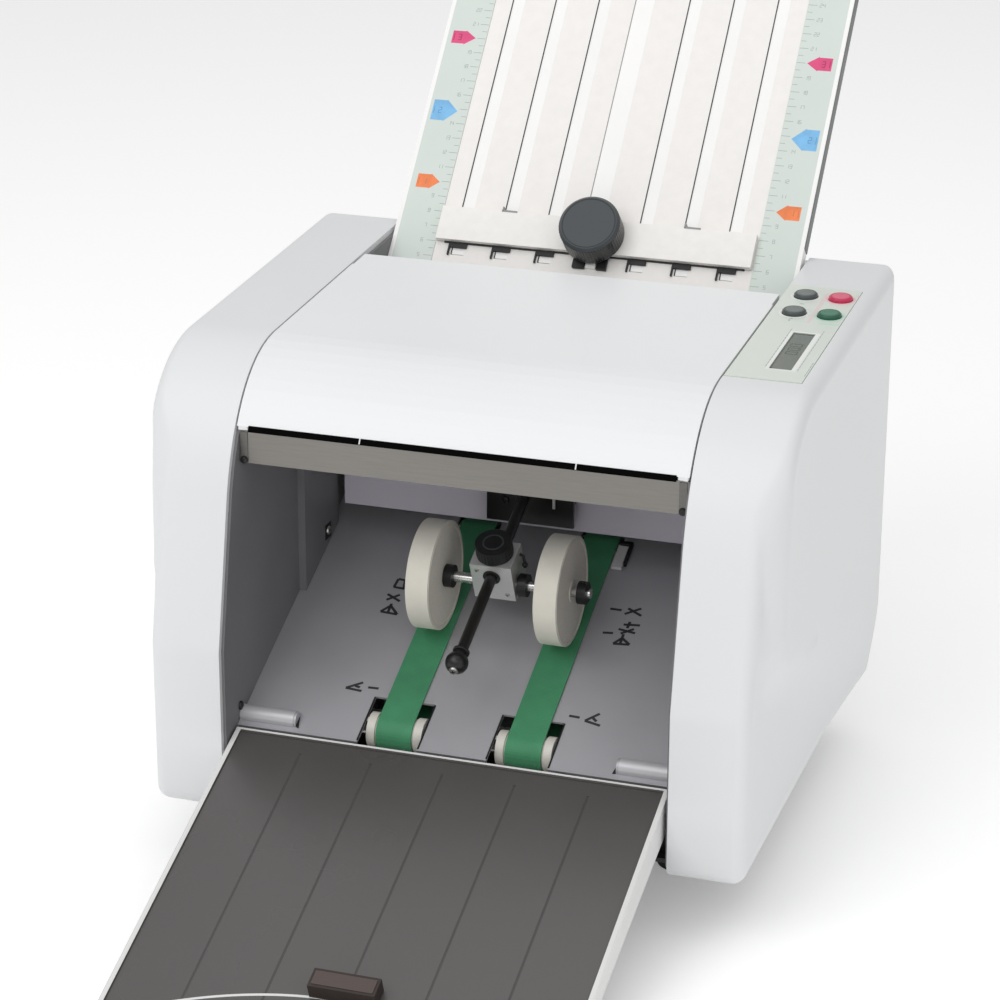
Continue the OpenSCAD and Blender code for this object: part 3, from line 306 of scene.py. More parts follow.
NODE_LOOK = {
    "base_pan": "pan", "rubber_feet": "foot", "side_frame_left": "frame", "side_frame_right": "frame",
    "left_cover": "cover", "right_cover": "cover", "top_cover": "cover", "rear_cover": "cover",
    "front_cross_bar": "bar", "rear_inner_panel": "panel", "exit_deck": "deck", "exit_belt_left": "belt",
    "exit_belt_right": "belt", "belt_idler_rollers": "roller", "belt_idler_shaft": "shaft",
    "belt_drive_shaft": "shaft", "stacker_rod": "black_metal", "stacker_bracket": "black_metal",
    "stacker_block": "block", "stacker_lock_knob": "black", "stacker_wheels": "wheel",
    "stacker_tyres": "tyre", "stacker_shaft": "shaft", "stacker_collars": "black", "exit_tray": "tray",
    "tray_hinge_pins": "shaft", "tray_stop": "brown", "upper_plate_base": "plate",
    "upper_plate_grille": "slat", "upper_scale_strips": "strip", "upper_stop_bar": "stopbar",
    "upper_stop_knob": "knob", "lower_fold_plate": "shaft", "lower_stop_bar": "gear",
    "lower_stop_knob": "black", "fold_roller_1": "rubber", "fold_roller_2": "rubber",
    "fold_roller_3": "rubber", "fold_roller_4": "rubber", "roller_gear_1": "gear", "roller_gear_2": "gear",
    "roller_gear_3": "gear", "roller_gear_4": "gear", "shaft_bearings": "brass", "feed_roller": "rubber",
    "separator_pad": "pad", "feed_table": "cover", "paper_guide_left": "strip",
    "paper_guide_right": "strip", "drive_motor": "motor", "motor_pulley": "pulley",
    "drive_belt": "belt_black", "control_panel": "overlay", "lcd_window": "lcd",
    "button_rear_left": "key_dark", "stop_button": "key_red", "button_front_left": "key_dark",
    "start_button": "key_green", "power_inlet": "black", "power_switch": "black",
}
# Edge rounding in mm of the CAD's nodes, where it isn't the usual one
ROUND = {"top_cover": 0.9, "front_cross_bar": 0.5, "exit_deck": 0.3, "stacker_block": 0.8,
         "stacker_wheels": 0.4, "stacker_tyres": 0.9, "exit_tray": 0.6, "upper_plate_base": 0.8,
         "upper_scale_strips": 0.25, "upper_stop_bar": 0.6, "tray_stop": 0.8, "feed_table": 0.6,
         "paper_guide_left": 0.5, "paper_guide_right": 0.5, "control_panel": 0.3, "lcd_window": 0.2,
         "stacker_collars": 0.5, "belt_idler_rollers": 0.4, "rubber_feet": 1.5, "rear_cover": 0.3,
         "stop_button": 0.5, "start_button": 0.5, "button_rear_left": 0.5, "button_front_left": 0.5}
USUAL_ROUND = 0.25
SMOOTH_ANGLE, COVER_ANGLE, BEVEL_ANGLE = 32, 40, 35      # sharper edges than these break or are rounded


def smooth(obj, angle=SMOOTH_ANGLE):
    """Smooth shading, broken at edges sharper than the angle in degrees."""
    for p in obj.data.polygons:
        p.use_smooth = True
    obj.data.set_sharp_from_angle(angle=math.radians(angle))


def bevel(obj, width_mm, segments=3):
    """Rounds a piece's sharp edges."""
    b = obj.modifiers.new("edge", "BEVEL")
    b.width = width_mm * MM
    b.segments = segments
    b.limit_method = "ANGLE"
    b.angle_limit = math.radians(BEVEL_ANGLE)
    b.use_clamp_overlap = True
    b.miter_outer = "MITER_ARC"
    b.harden_normals = True


for node, look in NODE_LOOK.items():
    o = NODES[node]
    o.data.materials.clear()
    o.data.materials.append(LOOKS[look])
    smooth(o)
    bevel(o, ROUND.get(node, USUAL_ROUND), 3 if node in ROUND else 2)


# ---------------------------------------------------------------- mesh helpers
def finish_piece(name, bm, matrix, look, body, angle=SMOOTH_ANGLE, round_mm=0.0):
    """Makes the piece from a mesh drawn in a local frame. angle is where its shading breaks."""
    bmesh.ops.recalc_face_normals(bm, faces=bm.faces)
    mesh = bpy.data.meshes.new(name)
    bm.to_mesh(mesh)
    bm.free()
    mesh.transform(matrix)
    if matrix.determinant() < 0:
        mesh.flip_normals()
    o = bpy.data.objects.new(name, mesh)
    bpy.context.scene.collection.objects.link(o)
    mesh.materials.append(LOOKS[look])
    smooth(o, angle)
    if round_mm:
        bevel(o, round_mm)
    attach(o, body)
    return o


def add_box(bm, x0, x1, y0, y1, z0, z1):
    """A box between two places along each axis."""
    v = [bm.verts.new((x, y, z)) for x in (x0, x1) for y in (y0, y1) for z in (z0, z1)]
    for f in ((0, 1, 3, 2), (4, 6, 7, 5), (0, 4, 5, 1), (2, 3, 7, 6), (0, 2, 6, 4), (1, 5, 7, 3)):
        bm.faces.new([v[i] for i in f])


def add_lathe(bm, profile, n, matrix=Matrix.Identity(4)):
    """Turns (r, z) pairs about Z in n steps. A pair with r = 0 is one point."""
    rings = []
    for r, z in profile:
        steps = n if r else 1
        angles = [2 * math.pi * k / n for k in range(steps)]
        rings.append([bm.verts.new(matrix @ Vector((r * math.cos(a), r * math.sin(a), z)))
                      for a in angles])
    for a, b in zip(rings, rings[1:]):
        for k in range(n):
            j = (k + 1) % n
            if len(a) == 1:
                bm.faces.new((a[0], b[k], b[j]))
            elif len(b) == 1:
                bm.faces.new((a[k], b[0], a[j]))
            else:
                bm.faces.new((a[k], b[k], b[j], a[j]))


def add_plate(bm, outline, z0, z1):
    """A flat piece from a 2D outline, between two heights."""
    lo = [bm.verts.new((x, y, z0)) for x, y in outline]
    hi = [bm.verts.new((x, y, z1)) for x, y in outline]
    bm.faces.new(lo[::-1])
    bm.faces.new(hi)
    n = len(outline)
    for i in range(n):
        j = (i + 1) % n
        bm.faces.new((lo[i], lo[j], hi[j], hi[i]))


def join_rings(bm, rings):
    """Faces between successive closed rings of points."""
    for a, b in zip(rings, rings[1:]):
        for k in range(len(a)):
            j = (k + 1) % len(a)
            bm.faces.new((a[k], a[j], b[j], b[k]))


def add_tube(bm, path, r, n=12):
    """A round tube along points."""
    rings = []
    pts = [Vector(p) for p in path]
    for i, p in enumerate(pts):
        t = (pts[min(i + 1, len(pts) - 1)] - pts[max(i - 1, 0)]).normalized()
        side = t.cross(Vector((0, 0, 1)) if abs(t.z) < 0.9 else Vector((1, 0, 0))).normalized()
        up = side.cross(t)
        angles = [2 * math.pi * k / n for k in range(n)]
        rings.append([bm.verts.new(p + r * (math.cos(a) * side + math.sin(a) * up)) for a in angles])
    join_rings(bm, rings)
    bm.faces.new(rings[0][::-1])
    bm.faces.new(rings[-1])


# The turn, in degrees and about which axis, that brings Z to run along the named axis
TURNS = {"X": (90, "Y"), "-X": (-90, "Y"), "Y": (-90, "X"), "-Y": (90, "X")}


def turned(x, y, z, matrix, axis):
    """A matrix at a local point whose Z runs along the given local axis."""
    angle, about = TURNS[axis]
    return matrix @ Matrix.Translation((x, y, z)) @ Matrix.Rotation(math.radians(angle), 4, about)


def screw(name, matrix, body, r=3.0, look="screw"):
    """A pan-head screw with a dark cross in its head, which faces along the matrix's Z."""
    bm = bmesh.new()
    h = r * 0.55
    add_lathe(bm, [(r, 0), (r, h * 0.35), (r * 0.86, h * 0.8), (r * 0.5, h), (0, h)], 24)
    arm, half = r * 0.55, r * 0.11
    cross = bmesh.new()
    add_box(cross, -arm, arm, -half, half, h - 0.2, h + 0.04)
    add_box(cross, -half, half, -arm, arm, h - 0.2, h + 0.04)
    finish_piece(name + "_slot", cross, matrix, "screw_dark", body)
    return finish_piece(name, bm, matrix, look, body, 40)


# ---------------------------------------------------------------- side covers
CORNER_R = 8.0
BROW_START, BROW_END = (0.0, 95.0), (17.5, 181.0)
BROW_HANDLES = (25.5, 213.0), (45.0, 249.0)
LOWER_HW, BULGE = 169.0, 10.0
WALL = 3.0
RIM_STEP = 4.0
# The skin's rings: at places across the wall, then at depths inside the rim, dense where it rounds
WALL_RINGS = (OPENING_HW, 138.0, 150.0)
EDGE_RINGS = [0.0, 0.16, 0.6, 1.4, 2.6, 4.2, 6.0, 7.0, 8.0, 9.5, 11.0]
FACE_RINGS = [13, 15, 17, 19, 21.5, 24, 27, 30, 34, 38, 42, 47, 53, 60, 68, 76, 85, 94]
LAST_SHARE = 0.96            # how far the last ring has come to the centre
SKIN_CENTRE, SKIN_REACH = (150.0, 125.0), 110.0
# The bulge's lower front boundary, from the brow down to the rear bottom
BULGE_LINE = [(24, 262), (26, 238), (25, 208), (22, 180), (21, 165), (21, 147), (22, 126), (30, 112),
              (45, 102), (80, 90), (130, 71), (190, 47), (250, 24), (296, 4), (330, -10)]
CREASE_W, SOFT_W = 16.0, 9.0             # over what width the bulge rises, creased and soft
SOFT_FROM, SOFT_REAR, SOFT_LOW = (50, 150), 0.09, 0.15   # it widens behind and below this place
CREASE_Y, CREASE_Z = (110.0, 55.0), (108.0, 160.0)       # where the crease starts to show, and is full


def bezier(a, b, c, d, n):
    pts = []
    for i in range(n + 1):
        t = i / n
        pts.append(tuple((1 - t) ** 3 * a[k] + 3 * t * (1 - t) ** 2 * b[k] + 3 * t * t * (1 - t) * c[k]
                         + t ** 3 * d[k] for k in (0, 1)))
    return pts


def brow(n):
    """The curved front of the covers and of the top cover, up to the shoulder, in n steps."""
    return bezier(BROW_END, *BROW_HANDLES, SHOULDER, n)


def side_outline():
    """The covers' side view, clockwise from the lower front corner."""
    turns = [math.radians(t) for t in range(0, 91, 15)]
    corner = [(CORNER_R * (1 - math.sin(a)), CORNER_R * (1 - math.cos(a))) for a in turns]
    return corner + [BROW_START] + brow(22) + [REAR_TOP, (REAR_TOP[0], 0.0)]


OUTLINE = side_outline()
EDGES = list(zip(OUTLINE, OUTLINE[1:] + OUTLINE[:1]))


def resample(step):
    """The side view's outline with points at about equal steps."""
    out = []
    for start, end in EDGES:
        a, b = Vector((*start, 0)), Vector((*end, 0))
        k = max(1, int(round((b - a).length / step)))
        out += [tuple(a.lerp(b, j / k).xy) for j in range(k)]
    return out


def smoothstep(a, b, v):
    t = max(0.0, min(1.0, (v - a) / (b - a)))
    return t * t * (3 - 2 * t)


def segment_distance(y, z, start, end):
    """How far a point lies from a straight stretch."""
    (ay, az), (by, bz) = start, end
    ey, ez = by - ay, bz - az
    t = max(0.0, min(1.0, ((y - ay) * ey + (z - az) * ez) / (ey * ey + ez * ez)))
    return math.hypot(y - ay - t * ey, z - az - t * ez)


def edge_distance(y, z):
    """How far a point lies inside the convex side view."""
    return min(abs((y - ay) * (bz - az) - (z - az) * (by - ay)) / math.hypot(by - ay, bz - az)
               for (ay, az), (by, bz) in EDGES)


def centre_depth(y, z):
    """How far the skin's centre lies inside the edge that a rim point is on, square to that edge."""
    cy, cz = SKIN_CENTRE
    nearest, depth = 1e9, 0.0
    for start, end in EDGES:
        d = segment_distance(y, z, start, end)
        if d < nearest - 1e-6:
            nearest = d
            ey, ez = end[0] - start[0], end[1] - start[1]
            depth = abs((cy - y) * ez - (cz - z) * ey) / math.hypot(ey, ez)
    return depth


def bulge_share(y, z):
    """0 under the bulge's boundary, 1 well inside it: creased near the front, softer towards the rear."""
    nearest, side = 1e9, 1
    for start, end in zip(BULGE_LINE, BULGE_LINE[1:]):
        d = segment_distance(y, z, start, end)
        if d < nearest:
            nearest = d
            above = (z - start[1]) * (end[0] - start[0]) - (y - start[0]) * (end[1] - start[1])
            side = 1 if above > 0 else -1
    inside = nearest * side
    soft = SOFT_W + SOFT_REAR * max(0.0, y - SOFT_FROM[0]) + SOFT_LOW * max(0.0, SOFT_FROM[1] - z)
    t = max(0.0, min(1.0, inside / CREASE_W))
    creased = 0.6 * t * (2 - t) + 0.4 * t * t * (3 - 2 * t)
    near = smoothstep(*CREASE_Y, y) * smoothstep(*CREASE_Z, z)
    return near * creased + (1 - near) * smoothstep(-soft, soft, inside)


def outer_x(y, z, d):
    """Half width of the cover's outer skin at a point, d being its distance from the edge."""
    x = LOWER_HW + BULGE * bulge_share(y, z)
    if d < CORNER_R:
        x -= CORNER_R - math.sqrt(max(0.0, CORNER_R ** 2 - (CORNER_R - d) ** 2))
    return x


def ring_share(depth, centre):
    """How far a ring has come from a rim point to the centre, 0 to 1, centre being its depth there."""
    if depth <= EDGE_RINGS[-1]:
        return depth / centre
    edge = EDGE_RINGS[-1] / centre
    return edge + (LAST_SHARE - edge) * (depth - EDGE_RINGS[-1]) / (FACE_RINGS[-1] - EDGE_RINGS[-1])


def cover_mesh(bm, inset):
    """One side cover's skin as rings from the rim inward; inset gives its inner face."""
    cy, cz = SKIN_CENTRE
    shrink = 1.0 - inset / SKIN_REACH

    def at(x, y, z):
        return x, cy + (y - cy) * shrink, cz + (z - cz) * shrink

    rim = resample(RIM_STEP)
    centres = [centre_depth(y, z) for y, z in rim]
    rings = [[at(x, y, z) for y, z in rim] for x in WALL_RINGS]
    for depth in EDGE_RINGS + FACE_RINGS:
        row = []
        for (y, z), centre in zip(rim, centres):
            t = ring_share(depth, centre)
            py, pz = y + (cy - y) * t, z + (cz - z) * t
            row.append(at(outer_x(py, pz, edge_distance(py, pz)) - inset, py, pz))
        rings.append(row)
    verts = [[bm.verts.new(p) for p in row] for row in rings]
    join_rings(bm, verts)
    mid = bm.verts.new((outer_x(cy, cz, CORNER_R) - inset, cy, cz))
    last = verts[-1]
    for a, b in zip(last, last[1:] + last[:1]):
        bm.faces.new((a, b, mid))
    return verts[0]


def build_cover(name, sign, node):
    """A side cover with a wall; sign is -1 for the left one."""
    bm = bmesh.new()
    outer = cover_mesh(bm, 0.0)
    inner = cover_mesh(bm, WALL)
    n = len(outer)
    for k in range(n):
        j = (k + 1) % n
        bm.faces.new((outer[k], inner[k], inner[j], outer[j]))
    mirror = Matrix.Scale(sign, 4, (1, 0, 0))
    o = finish_piece(name, bm, BODY @ mirror, "cover_shaded_side", "base", COVER_ANGLE)
    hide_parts(node)
    return o


def cut(target, boxes):
    """Cuts boxes, given as (matrix, x0, x1, y0, y1, z0, z1), out of a piece."""
    for matrix, *box in boxes:
        bm = bmesh.new()
        add_box(bm, *box)
        mesh = bpy.data.meshes.new("cutter")
        bmesh.ops.recalc_face_normals(bm, faces=bm.faces)
        bm.to_mesh(mesh)
        bm.free()
        mesh.transform(matrix)
        cutter = bpy.data.objects.new("cutter", mesh)
        bpy.context.scene.collection.objects.link(cutter)
        mod = target.modifiers.new("cut", "BOOLEAN")
        mod.object = cutter
        mod.solver = "EXACT"
        with bpy.context.temp_override(object=target, active_object=target, selected_objects=[target]):
            bpy.ops.object.modifier_apply(modifier=mod.name)
        bpy.data.objects.remove(cutter)
    smooth(target, COVER_ANGLE)


OVERLAY_BED = (TOP, 126.0, 169.6, 5.8, 158.2, -6, 3)
INLET_HOLE = (BODY, 136.3, 163.7, 288, 300, 31.8, 52.2)
SWITCH_HOLE = (BODY, 143.3, 156.7, 288, 300, 66.3, 85.7)
OPEN_BOTTOM = (12, 285, -2, 4)
left = build_cover("left_cover_skin", -1, "left_cover")
right = build_cover("right_cover_skin", 1, "right_cover")
cut(right, [OVERLAY_BED, INLET_HOLE, SWITCH_HOLE])
cut(left, [(BODY, -158, -126, *OPEN_BOTTOM)])
cut(right, [(BODY, 126, 158, *OPEN_BOTTOM)])


# ---------------------------------------------------------------- small shapes
RING_STEPS = 48


def rect(x0, x1, y0, y1):
    return [(x0, y0), (x1, y0), (x1, y1), (x0, y1)]


def frame_shapes(outer, inner):
    """A rectangular frame as four strips, each rectangle given as x0, x1, y0, y1."""
    (x0, x1, y0, y1), (u0, u1, v0, v1) = outer, inner
    return [rect(x0, u0, y0, y1), rect(u1, x1, y0, y1), rect(u0, u1, v1, y1), rect(u0, u1, y0, v0)]


def stroke(a, b, w):
    """A straight line of width w as an outline."""
    (ax, ay), (bx, by) = a, b
    length = math.hypot(bx - ax, by - ay)
    nx, ny = -(by - ay) / length * w / 2, (bx - ax) / length * w / 2
    return [(ax + nx, ay + ny), (ax - nx, ay - ny), (bx - nx, by - ny), (bx + nx, by + ny)]


def strokes(lines, w):
    """Every stretch of some open lines as an outline."""
    return [stroke(a, b, w) for line in lines for a, b in zip(line, line[1:])]


def flat(name, matrix, shapes, z0, z1, look, body, slot, round_mm=0.0):
    """Flat shapes in a local plane, all between two heights."""
    bm = bmesh.new()
    for outline in shapes:
        add_plate(bm, outline, z0, z1)
    return finish_piece(name, bm, matrix, look, body, round_mm=round_mm)


def block(name, matrix, boxes, look, body, round_mm=0.0):
    """Boxes in a local frame, as one piece."""
    bm = bmesh.new()
    for b in boxes:
        add_box(bm, *b)
    return finish_piece(name, bm, matrix, look, body, round_mm=round_mm)


def ring(name, matrix, r0, r1, z0, z1, look, body, flutes=0, depth=0.0, edge=0.0):
    """A turned ring; flutes cut its outer face into a grip, edge breaks its outer corners."""
    outer = [(r1, z0), (r1, z1)]
    if edge:
        outer = [(r1 - edge, z0), (r1, z0 + edge), (r1, z1 - edge), (r1 - edge, z1)]
    bm = bmesh.new()
    steps = flutes * 4 or RING_STEPS
    rings = []
    for r, z in [(r0, z0), *outer, (r0, z1)]:
        row = []
        for k in range(steps):
            a = 2 * math.pi * k / steps
            q = r - (depth if flutes and r > r0 and k % 4 in (0, 1) else 0.0)
            row.append(bm.verts.new((q * math.cos(a), q * math.sin(a), z)))
        rings.append(row)
    join_rings(bm, rings + rings[:1])
    return finish_piece(name, bm, matrix, look, body, 30)


SEGMENTS = {"0": "abcdef", "1": "bc", "2": "abged", "3": "abgcd", "4": "fgbc", "5": "afgcd",
            "6": "afgedc", "7": "abc", "8": "abcdefg", "9": "abcdfg"}


def digits(text, x, y, h, w, gap, line):
    """Plain numbers from straight strokes, their lower left corner at (x, y)."""
    out = []
    for c in text:
        ends = {"a": ((x, y + h), (x + w, y + h)), "b": ((x + w, y + h / 2), (x + w, y + h)),
                "c": ((x + w, y), (x + w, y + h / 2)), "d": ((x, y), (x + w, y)),
                "e": ((x, y), (x, y + h / 2)), "f": ((x, y + h / 2), (x, y + h)),
                "g": ((x, y + h / 2), (x + w, y + h / 2))}
        out += [stroke(*ends[s], line) for s in SEGMENTS[c]]
        x += w + gap
    return out


def both(a, b, side):
    """Two places across, mirrored for side -1 and in rising order."""
    return sorted((side * a, side * b))


# ---------------------------------------------------------------- upper fold plate
SLOT_PITCH, SLOT_SHIFT = 27.2, 1.2
SLOTS = [k * SLOT_PITCH + math.copysign(SLOT_SHIFT, k) for k in (-3, -2, -1, 1, 2, 3)]
SLOT_RUN, MIDDLE_RUN, EDGE_SHADE_RUN = (-47.5, 165.5), (-40, 172), (-22, 183)
SLOT_LEFT, SLOT_RIGHT, SHADE_LEFT = 3.35, 3.9, 3.98       # from a slot's centre line
# Black strips along each slot's left wall: painted shadow of that wall
flat("plate_slot_painted_shadows", PLATE, [rect(c - SHADE_LEFT, c - SLOT_LEFT, *SLOT_RUN) for c in SLOTS], -1.2, 0.02,
     "slot_shade", "base", "plate_white")
flat("plate_slot_floors", PLATE, [rect(c - SLOT_LEFT, c + SLOT_RIGHT, *SLOT_RUN) for c in SLOTS], -0.9, -0.35,
     "plate", "base", "plate_white")
flat("plate_middle_band", PLATE, [rect(-8.4, 2.8, *MIDDLE_RUN)], 0.0, 0.06, "plate", "base", "plate_white")
flat("plate_middle_line", PLATE, [rect(-9.3, -8.7, *MIDDLE_RUN)], 0.0, 0.06, "ink_soft", "base",
     "plate_white")
# A dark grey strip over the fold plate's outer right face: painted shade on that face
flat("plate_edge_painted_shade", PLATE @ Matrix.Rotation(math.radians(90), 4, "Y"), [rect(0.6, 8.2, *EDGE_SHADE_RUN)],
     125.2, 125.7, "trim_and_shade", "base", "plate_white")

# The scale's printed ticks, numbers and arrows, in two thin layers on the strips
STRIP_TOP = 0.4
PRINT, OVERPRINT = STRIP_TOP + 0.03, STRIP_TOP + 0.05
TICK_FROM, CM_TICK_TO, HALF_TICK_TO, TICK_HW, TICK_STEP = 98.1, 103.4, 101.2, 0.16, 5.0
NUMBER_X, NUMBER_H, NUMBER_W, NUMBER_GAP, NUMBER_LINE = 106.6, 2.4, 1.3, 0.6, 0.26
CM, FIRST_NUMBER = 10, 10                # the scale's unit, and the number at the plate's zero
ARROW_TIP, ARROW_BODY, ARROW_BARB = 104.4, 8.2, 0.6
# place along the scale, half width, rear edge, look and number of each pair of arrows
ARROWS = ((-0.6, 4.6, 119.0, "ink_orange", "1"), (48.4, 7.0, 120.6, "ink_blue", "2"),
          (100.0, 4.4, 119.6, "ink_pink", "3"))
ticks, numbers = [], []
for side in (-1, 1):
    for i in range(-12, 36):
        s = i * TICK_STEP
        tick_to = CM_TICK_TO if i % 2 == 0 else HALF_TICK_TO
        ticks.append(rect(*both(TICK_FROM, tick_to, side), s - TICK_HW, s + TICK_HW))
    for cm in range(-5, 18):
        if cm not in (0, 5, 10):         # the arrows stand there
            label = str(FIRST_NUMBER + cm)
            wide = NUMBER_W * len(label) + NUMBER_GAP * (len(label) - 1)
            numbers += digits(label, side * NUMBER_X - wide / 2, cm * CM - NUMBER_H / 2, NUMBER_H, NUMBER_W,
                              NUMBER_GAP, NUMBER_LINE)
flat("scale_ticks", PLATE, ticks, STRIP_TOP, PRINT, "ink_grey", "base", "scale_green")
flat("scale_numbers", PLATE, numbers, STRIP_TOP, PRINT, "ink_grey", "base", "scale_green")
for s, half, back, look, label in ARROWS:
    arrows, labels = [], []
    neck = back - ARROW_BODY
    for side in (-1, 1):
        pts = [(back, s - half), (back, s + half), (neck, s + half), (neck, s + half + ARROW_BARB),
               (ARROW_TIP, s), (neck, s - half - ARROW_BARB), (neck, s - half)]
        pts = [(side * x, y) for x, y in pts]
        arrows.append(pts if side < 0 else pts[::-1])
        # its number, and a short bar at its rear edge
        labels += digits(label, side * (back - 5.0) - 0.9, s - 1.9, 3.8, 1.8, 0.5, 0.55)
        labels += [stroke((side * (back - 1.2), s - 2.4), (side * (back - 1.2), s + 2.4), 0.5)]
    flat("scale_arrow_" + look[4:], PLATE, arrows, STRIP_TOP, PRINT, look, "base", "scale_green")
    flat("scale_arrow_marks_" + look[4:], PLATE, labels, PRINT, OVERPRINT, look + "_deep", "base",
         "scale_green")

# Under the stop bar, in black: a painted shadow line along its lower edge, and at each slot a dark finger,
# partly the finger and partly painted shade of the slot's opening, with a thin dark mark beside it that is
# painted shadow of the slot's left wall
FINGER_Y, SIDE_SHADE_Y, UNDER_Y = -43.6, -48.6, -40.4
bar_shade_and_fingers = [rect(-92, 93, -40.75, -40.02)]
bar_shade_and_fingers += [rect(c - 5.0, c + 5.4, FINGER_Y, UNDER_Y) for c in SLOTS]
bar_shade_and_fingers += [rect(c - 6.0, c - 4.9, SIDE_SHADE_Y, UNDER_Y) for c in SLOTS]
flat("stop_bar_shade_and_fingers", PLATE, bar_shade_and_fingers, 0.1, 1.5, "black", "upper_stop", "stop_white", 0.15)
flat("stop_bar_springs", PLATE, [rect(-10.2, -2.8, -49.6, -40.2), rect(4.6, 10.8, -49.6, -40.2)], 0.1, 2.6,
     "black", "upper_stop", "stop_white", 0.4)
flat("stop_bar_pointer", PLATE, [rect(-2.2, 4.0, -49.0, -40.2)], 0.1, 1.6, "plate", "upper_stop",
     "stop_white", 0.3)
LUG_Y = -18.6
flat("stop_bar_lugs", PLATE, [rect(-59.6, -50.2, LUG_Y, -17.6), rect(53.0, 63.0, LUG_Y, -17.6),
                              rect(-59.6, -58.7, LUG_Y, -15.4), rect(53.0, 53.9, LUG_Y, -15.4)],
     0.6, 4.9, "ink_soft", "upper_stop", "stop_white", 0.1)
STOP_KNOB = PLATE @ Matrix.Translation((0, -29, 0))
ring("stop_knob_grip", STOP_KNOB, 17.6, 18.5, 5.4, 19.0, "knob_side", "upper_stop_clamp",
     flutes=60, depth=0.16, edge=0.25)
ring("stop_knob_rim", STOP_KNOB, 15.6, 16.2, 20.6, 20.86, "knob_side", "upper_stop_clamp")

# ---------------------------------------------------------------- exit tray
TRAY_HW, TRAY_INNER_HW, TRAY_END = 123.5, 121.1, -202.8
GROOVE_PITCH, GROOVE_HW = 41, 0.69
ARC_STEP, ARC_TOP, ARC_FALL = 5.0, -174.0, 406
# Light grey strips on the tray's rim tops, along its hinge edge and over its outer side walls: painted
# highlights
edges = [rect(*both(TRAY_INNER_HW, TRAY_HW, side), TRAY_END, 0) for side in (-1, 1)]
edges.append(rect(-TRAY_INNER_HW, TRAY_INNER_HW, -1.3, 0))
flat("tray_edge_painted_highlight", TRAY, edges, 1.0, 1.25, "tray_edge", "tray", "tray_plastic", 0.1)
wall = [(0, 1.2), (TRAY_END, 1.2), (TRAY_END, -7), (-18, -18), (0, -13)]
for tag, side in (("right", 1), ("left", -1)):
    flat("tray_outer_highlight_" + tag, TRAY @ SIDE_PLANE, [wall], *both(TRAY_HW, TRAY_HW + 0.4, side), "tray_edge",
         "tray", "tray_plastic", 0.1)
# Shallow fills in the grooves, in a darker copy of the tray's colour: painted shade in the grooves
grooves = [rect(k * GROOVE_PITCH - GROOVE_HW, k * GROOVE_PITCH + GROOVE_HW, -192.8, -12.2)
           for k in range(-2, 3)]
flat("tray_groove_shade_fill", TRAY, grooves, -0.6, -0.10, "tray_groove_shade", "tray", "tray_plastic")
arc = [(i * ARC_STEP, ARC_TOP - i * ARC_STEP * i * ARC_STEP / ARC_FALL) for i in range(-18, 19)]
flat("tray_end_arc", TRAY, strokes([arc], 1.5), 0.01, 0.06, "tray_edge", "tray", "tray_plastic")
# A lighter copy of the stop's brown over its top face: painted light on that face
flat("tray_stop_lit_top", TRAY, [rect(-16.6, 16.6, -173.4, -164.6)], 9.0, 9.5, "brown_lit_top", "tray_slider",
     "stop_brown", 0.3)

# ---------------------------------------------------------------- delivery deck
MARK_W, MARK_H = 1.65, 0.03
MARKS = [
    # front row
    [(-65.3, 30.7), (-73.8, 25.2), (-64.2, 24.4)], [(-69.0, 27.6), (-66.0, 26.8)],
    [(-61.4, 27.7), (-55.2, 27.9)], [(55.7, 27.6), (61.8, 27.3)],
    [(72.0, 32.0), (65.2, 25.6), (74.4, 23.6)], [(69.0, 28.4), (71.6, 26.2)],
    # middle row, left and right
    [(-73.0, 85), (-62.8, 84.4), (-68.6, 90.4), (-73.0, 85)], [(-68.6, 84.6), (-68.6, 92)],
    [(65.3, 84), (74.5, 84.8), (69.2, 89.0), (65.3, 84)], [(69.2, 84.6), (69.2, 92)],
    # rear group on the left
    [(-73.3, 98.9), (-64.5, 94.6)], [(-72.6, 94.4), (-66.0, 99.6)], [(-71.6, 105.0), (-64.8, 104.6)],
    [(-71.4, 105.0), (-70.8, 111.6), (-66.6, 111.2), (-65.4, 104.8)],
    # rear group on the right
    [(56.6, 109.8), (63.3, 109.8)], [(65.7, 107.2), (74.0, 112.9)], [(66.6, 111.8), (75.4, 107.4)],
    [(67.3, 99.2), (76.6, 100.1)], [(70.4, 101.8), (70.0, 96.8)], [(57.3, 91.2), (63.2, 91.8)],
    [(65.4, 95.4), (75.4, 93.8)], [(67.4, 92.2), (74.0, 96.8)],
]
flat("deck_marks", DECK, strokes(MARKS, MARK_W), 0.0, MARK_H, "ink", "base", "deck_steel")
block("deck_sheet_finger", DECK, [(48.8, 55.2, 139.6, 157.6, 0.05, 2.4)], "tab_white", "base",
      0.6)
# Black along the sheet finger's right side and rear: painted shadow of the finger
block("deck_finger_painted_shadow", DECK, [(55.3, 57.0, 143, 158.6, 0.05, 3.4), (49.6, 57.0, 157.7, 160.4, 0.05, 3.4)],
      "black", "base", 0.4)

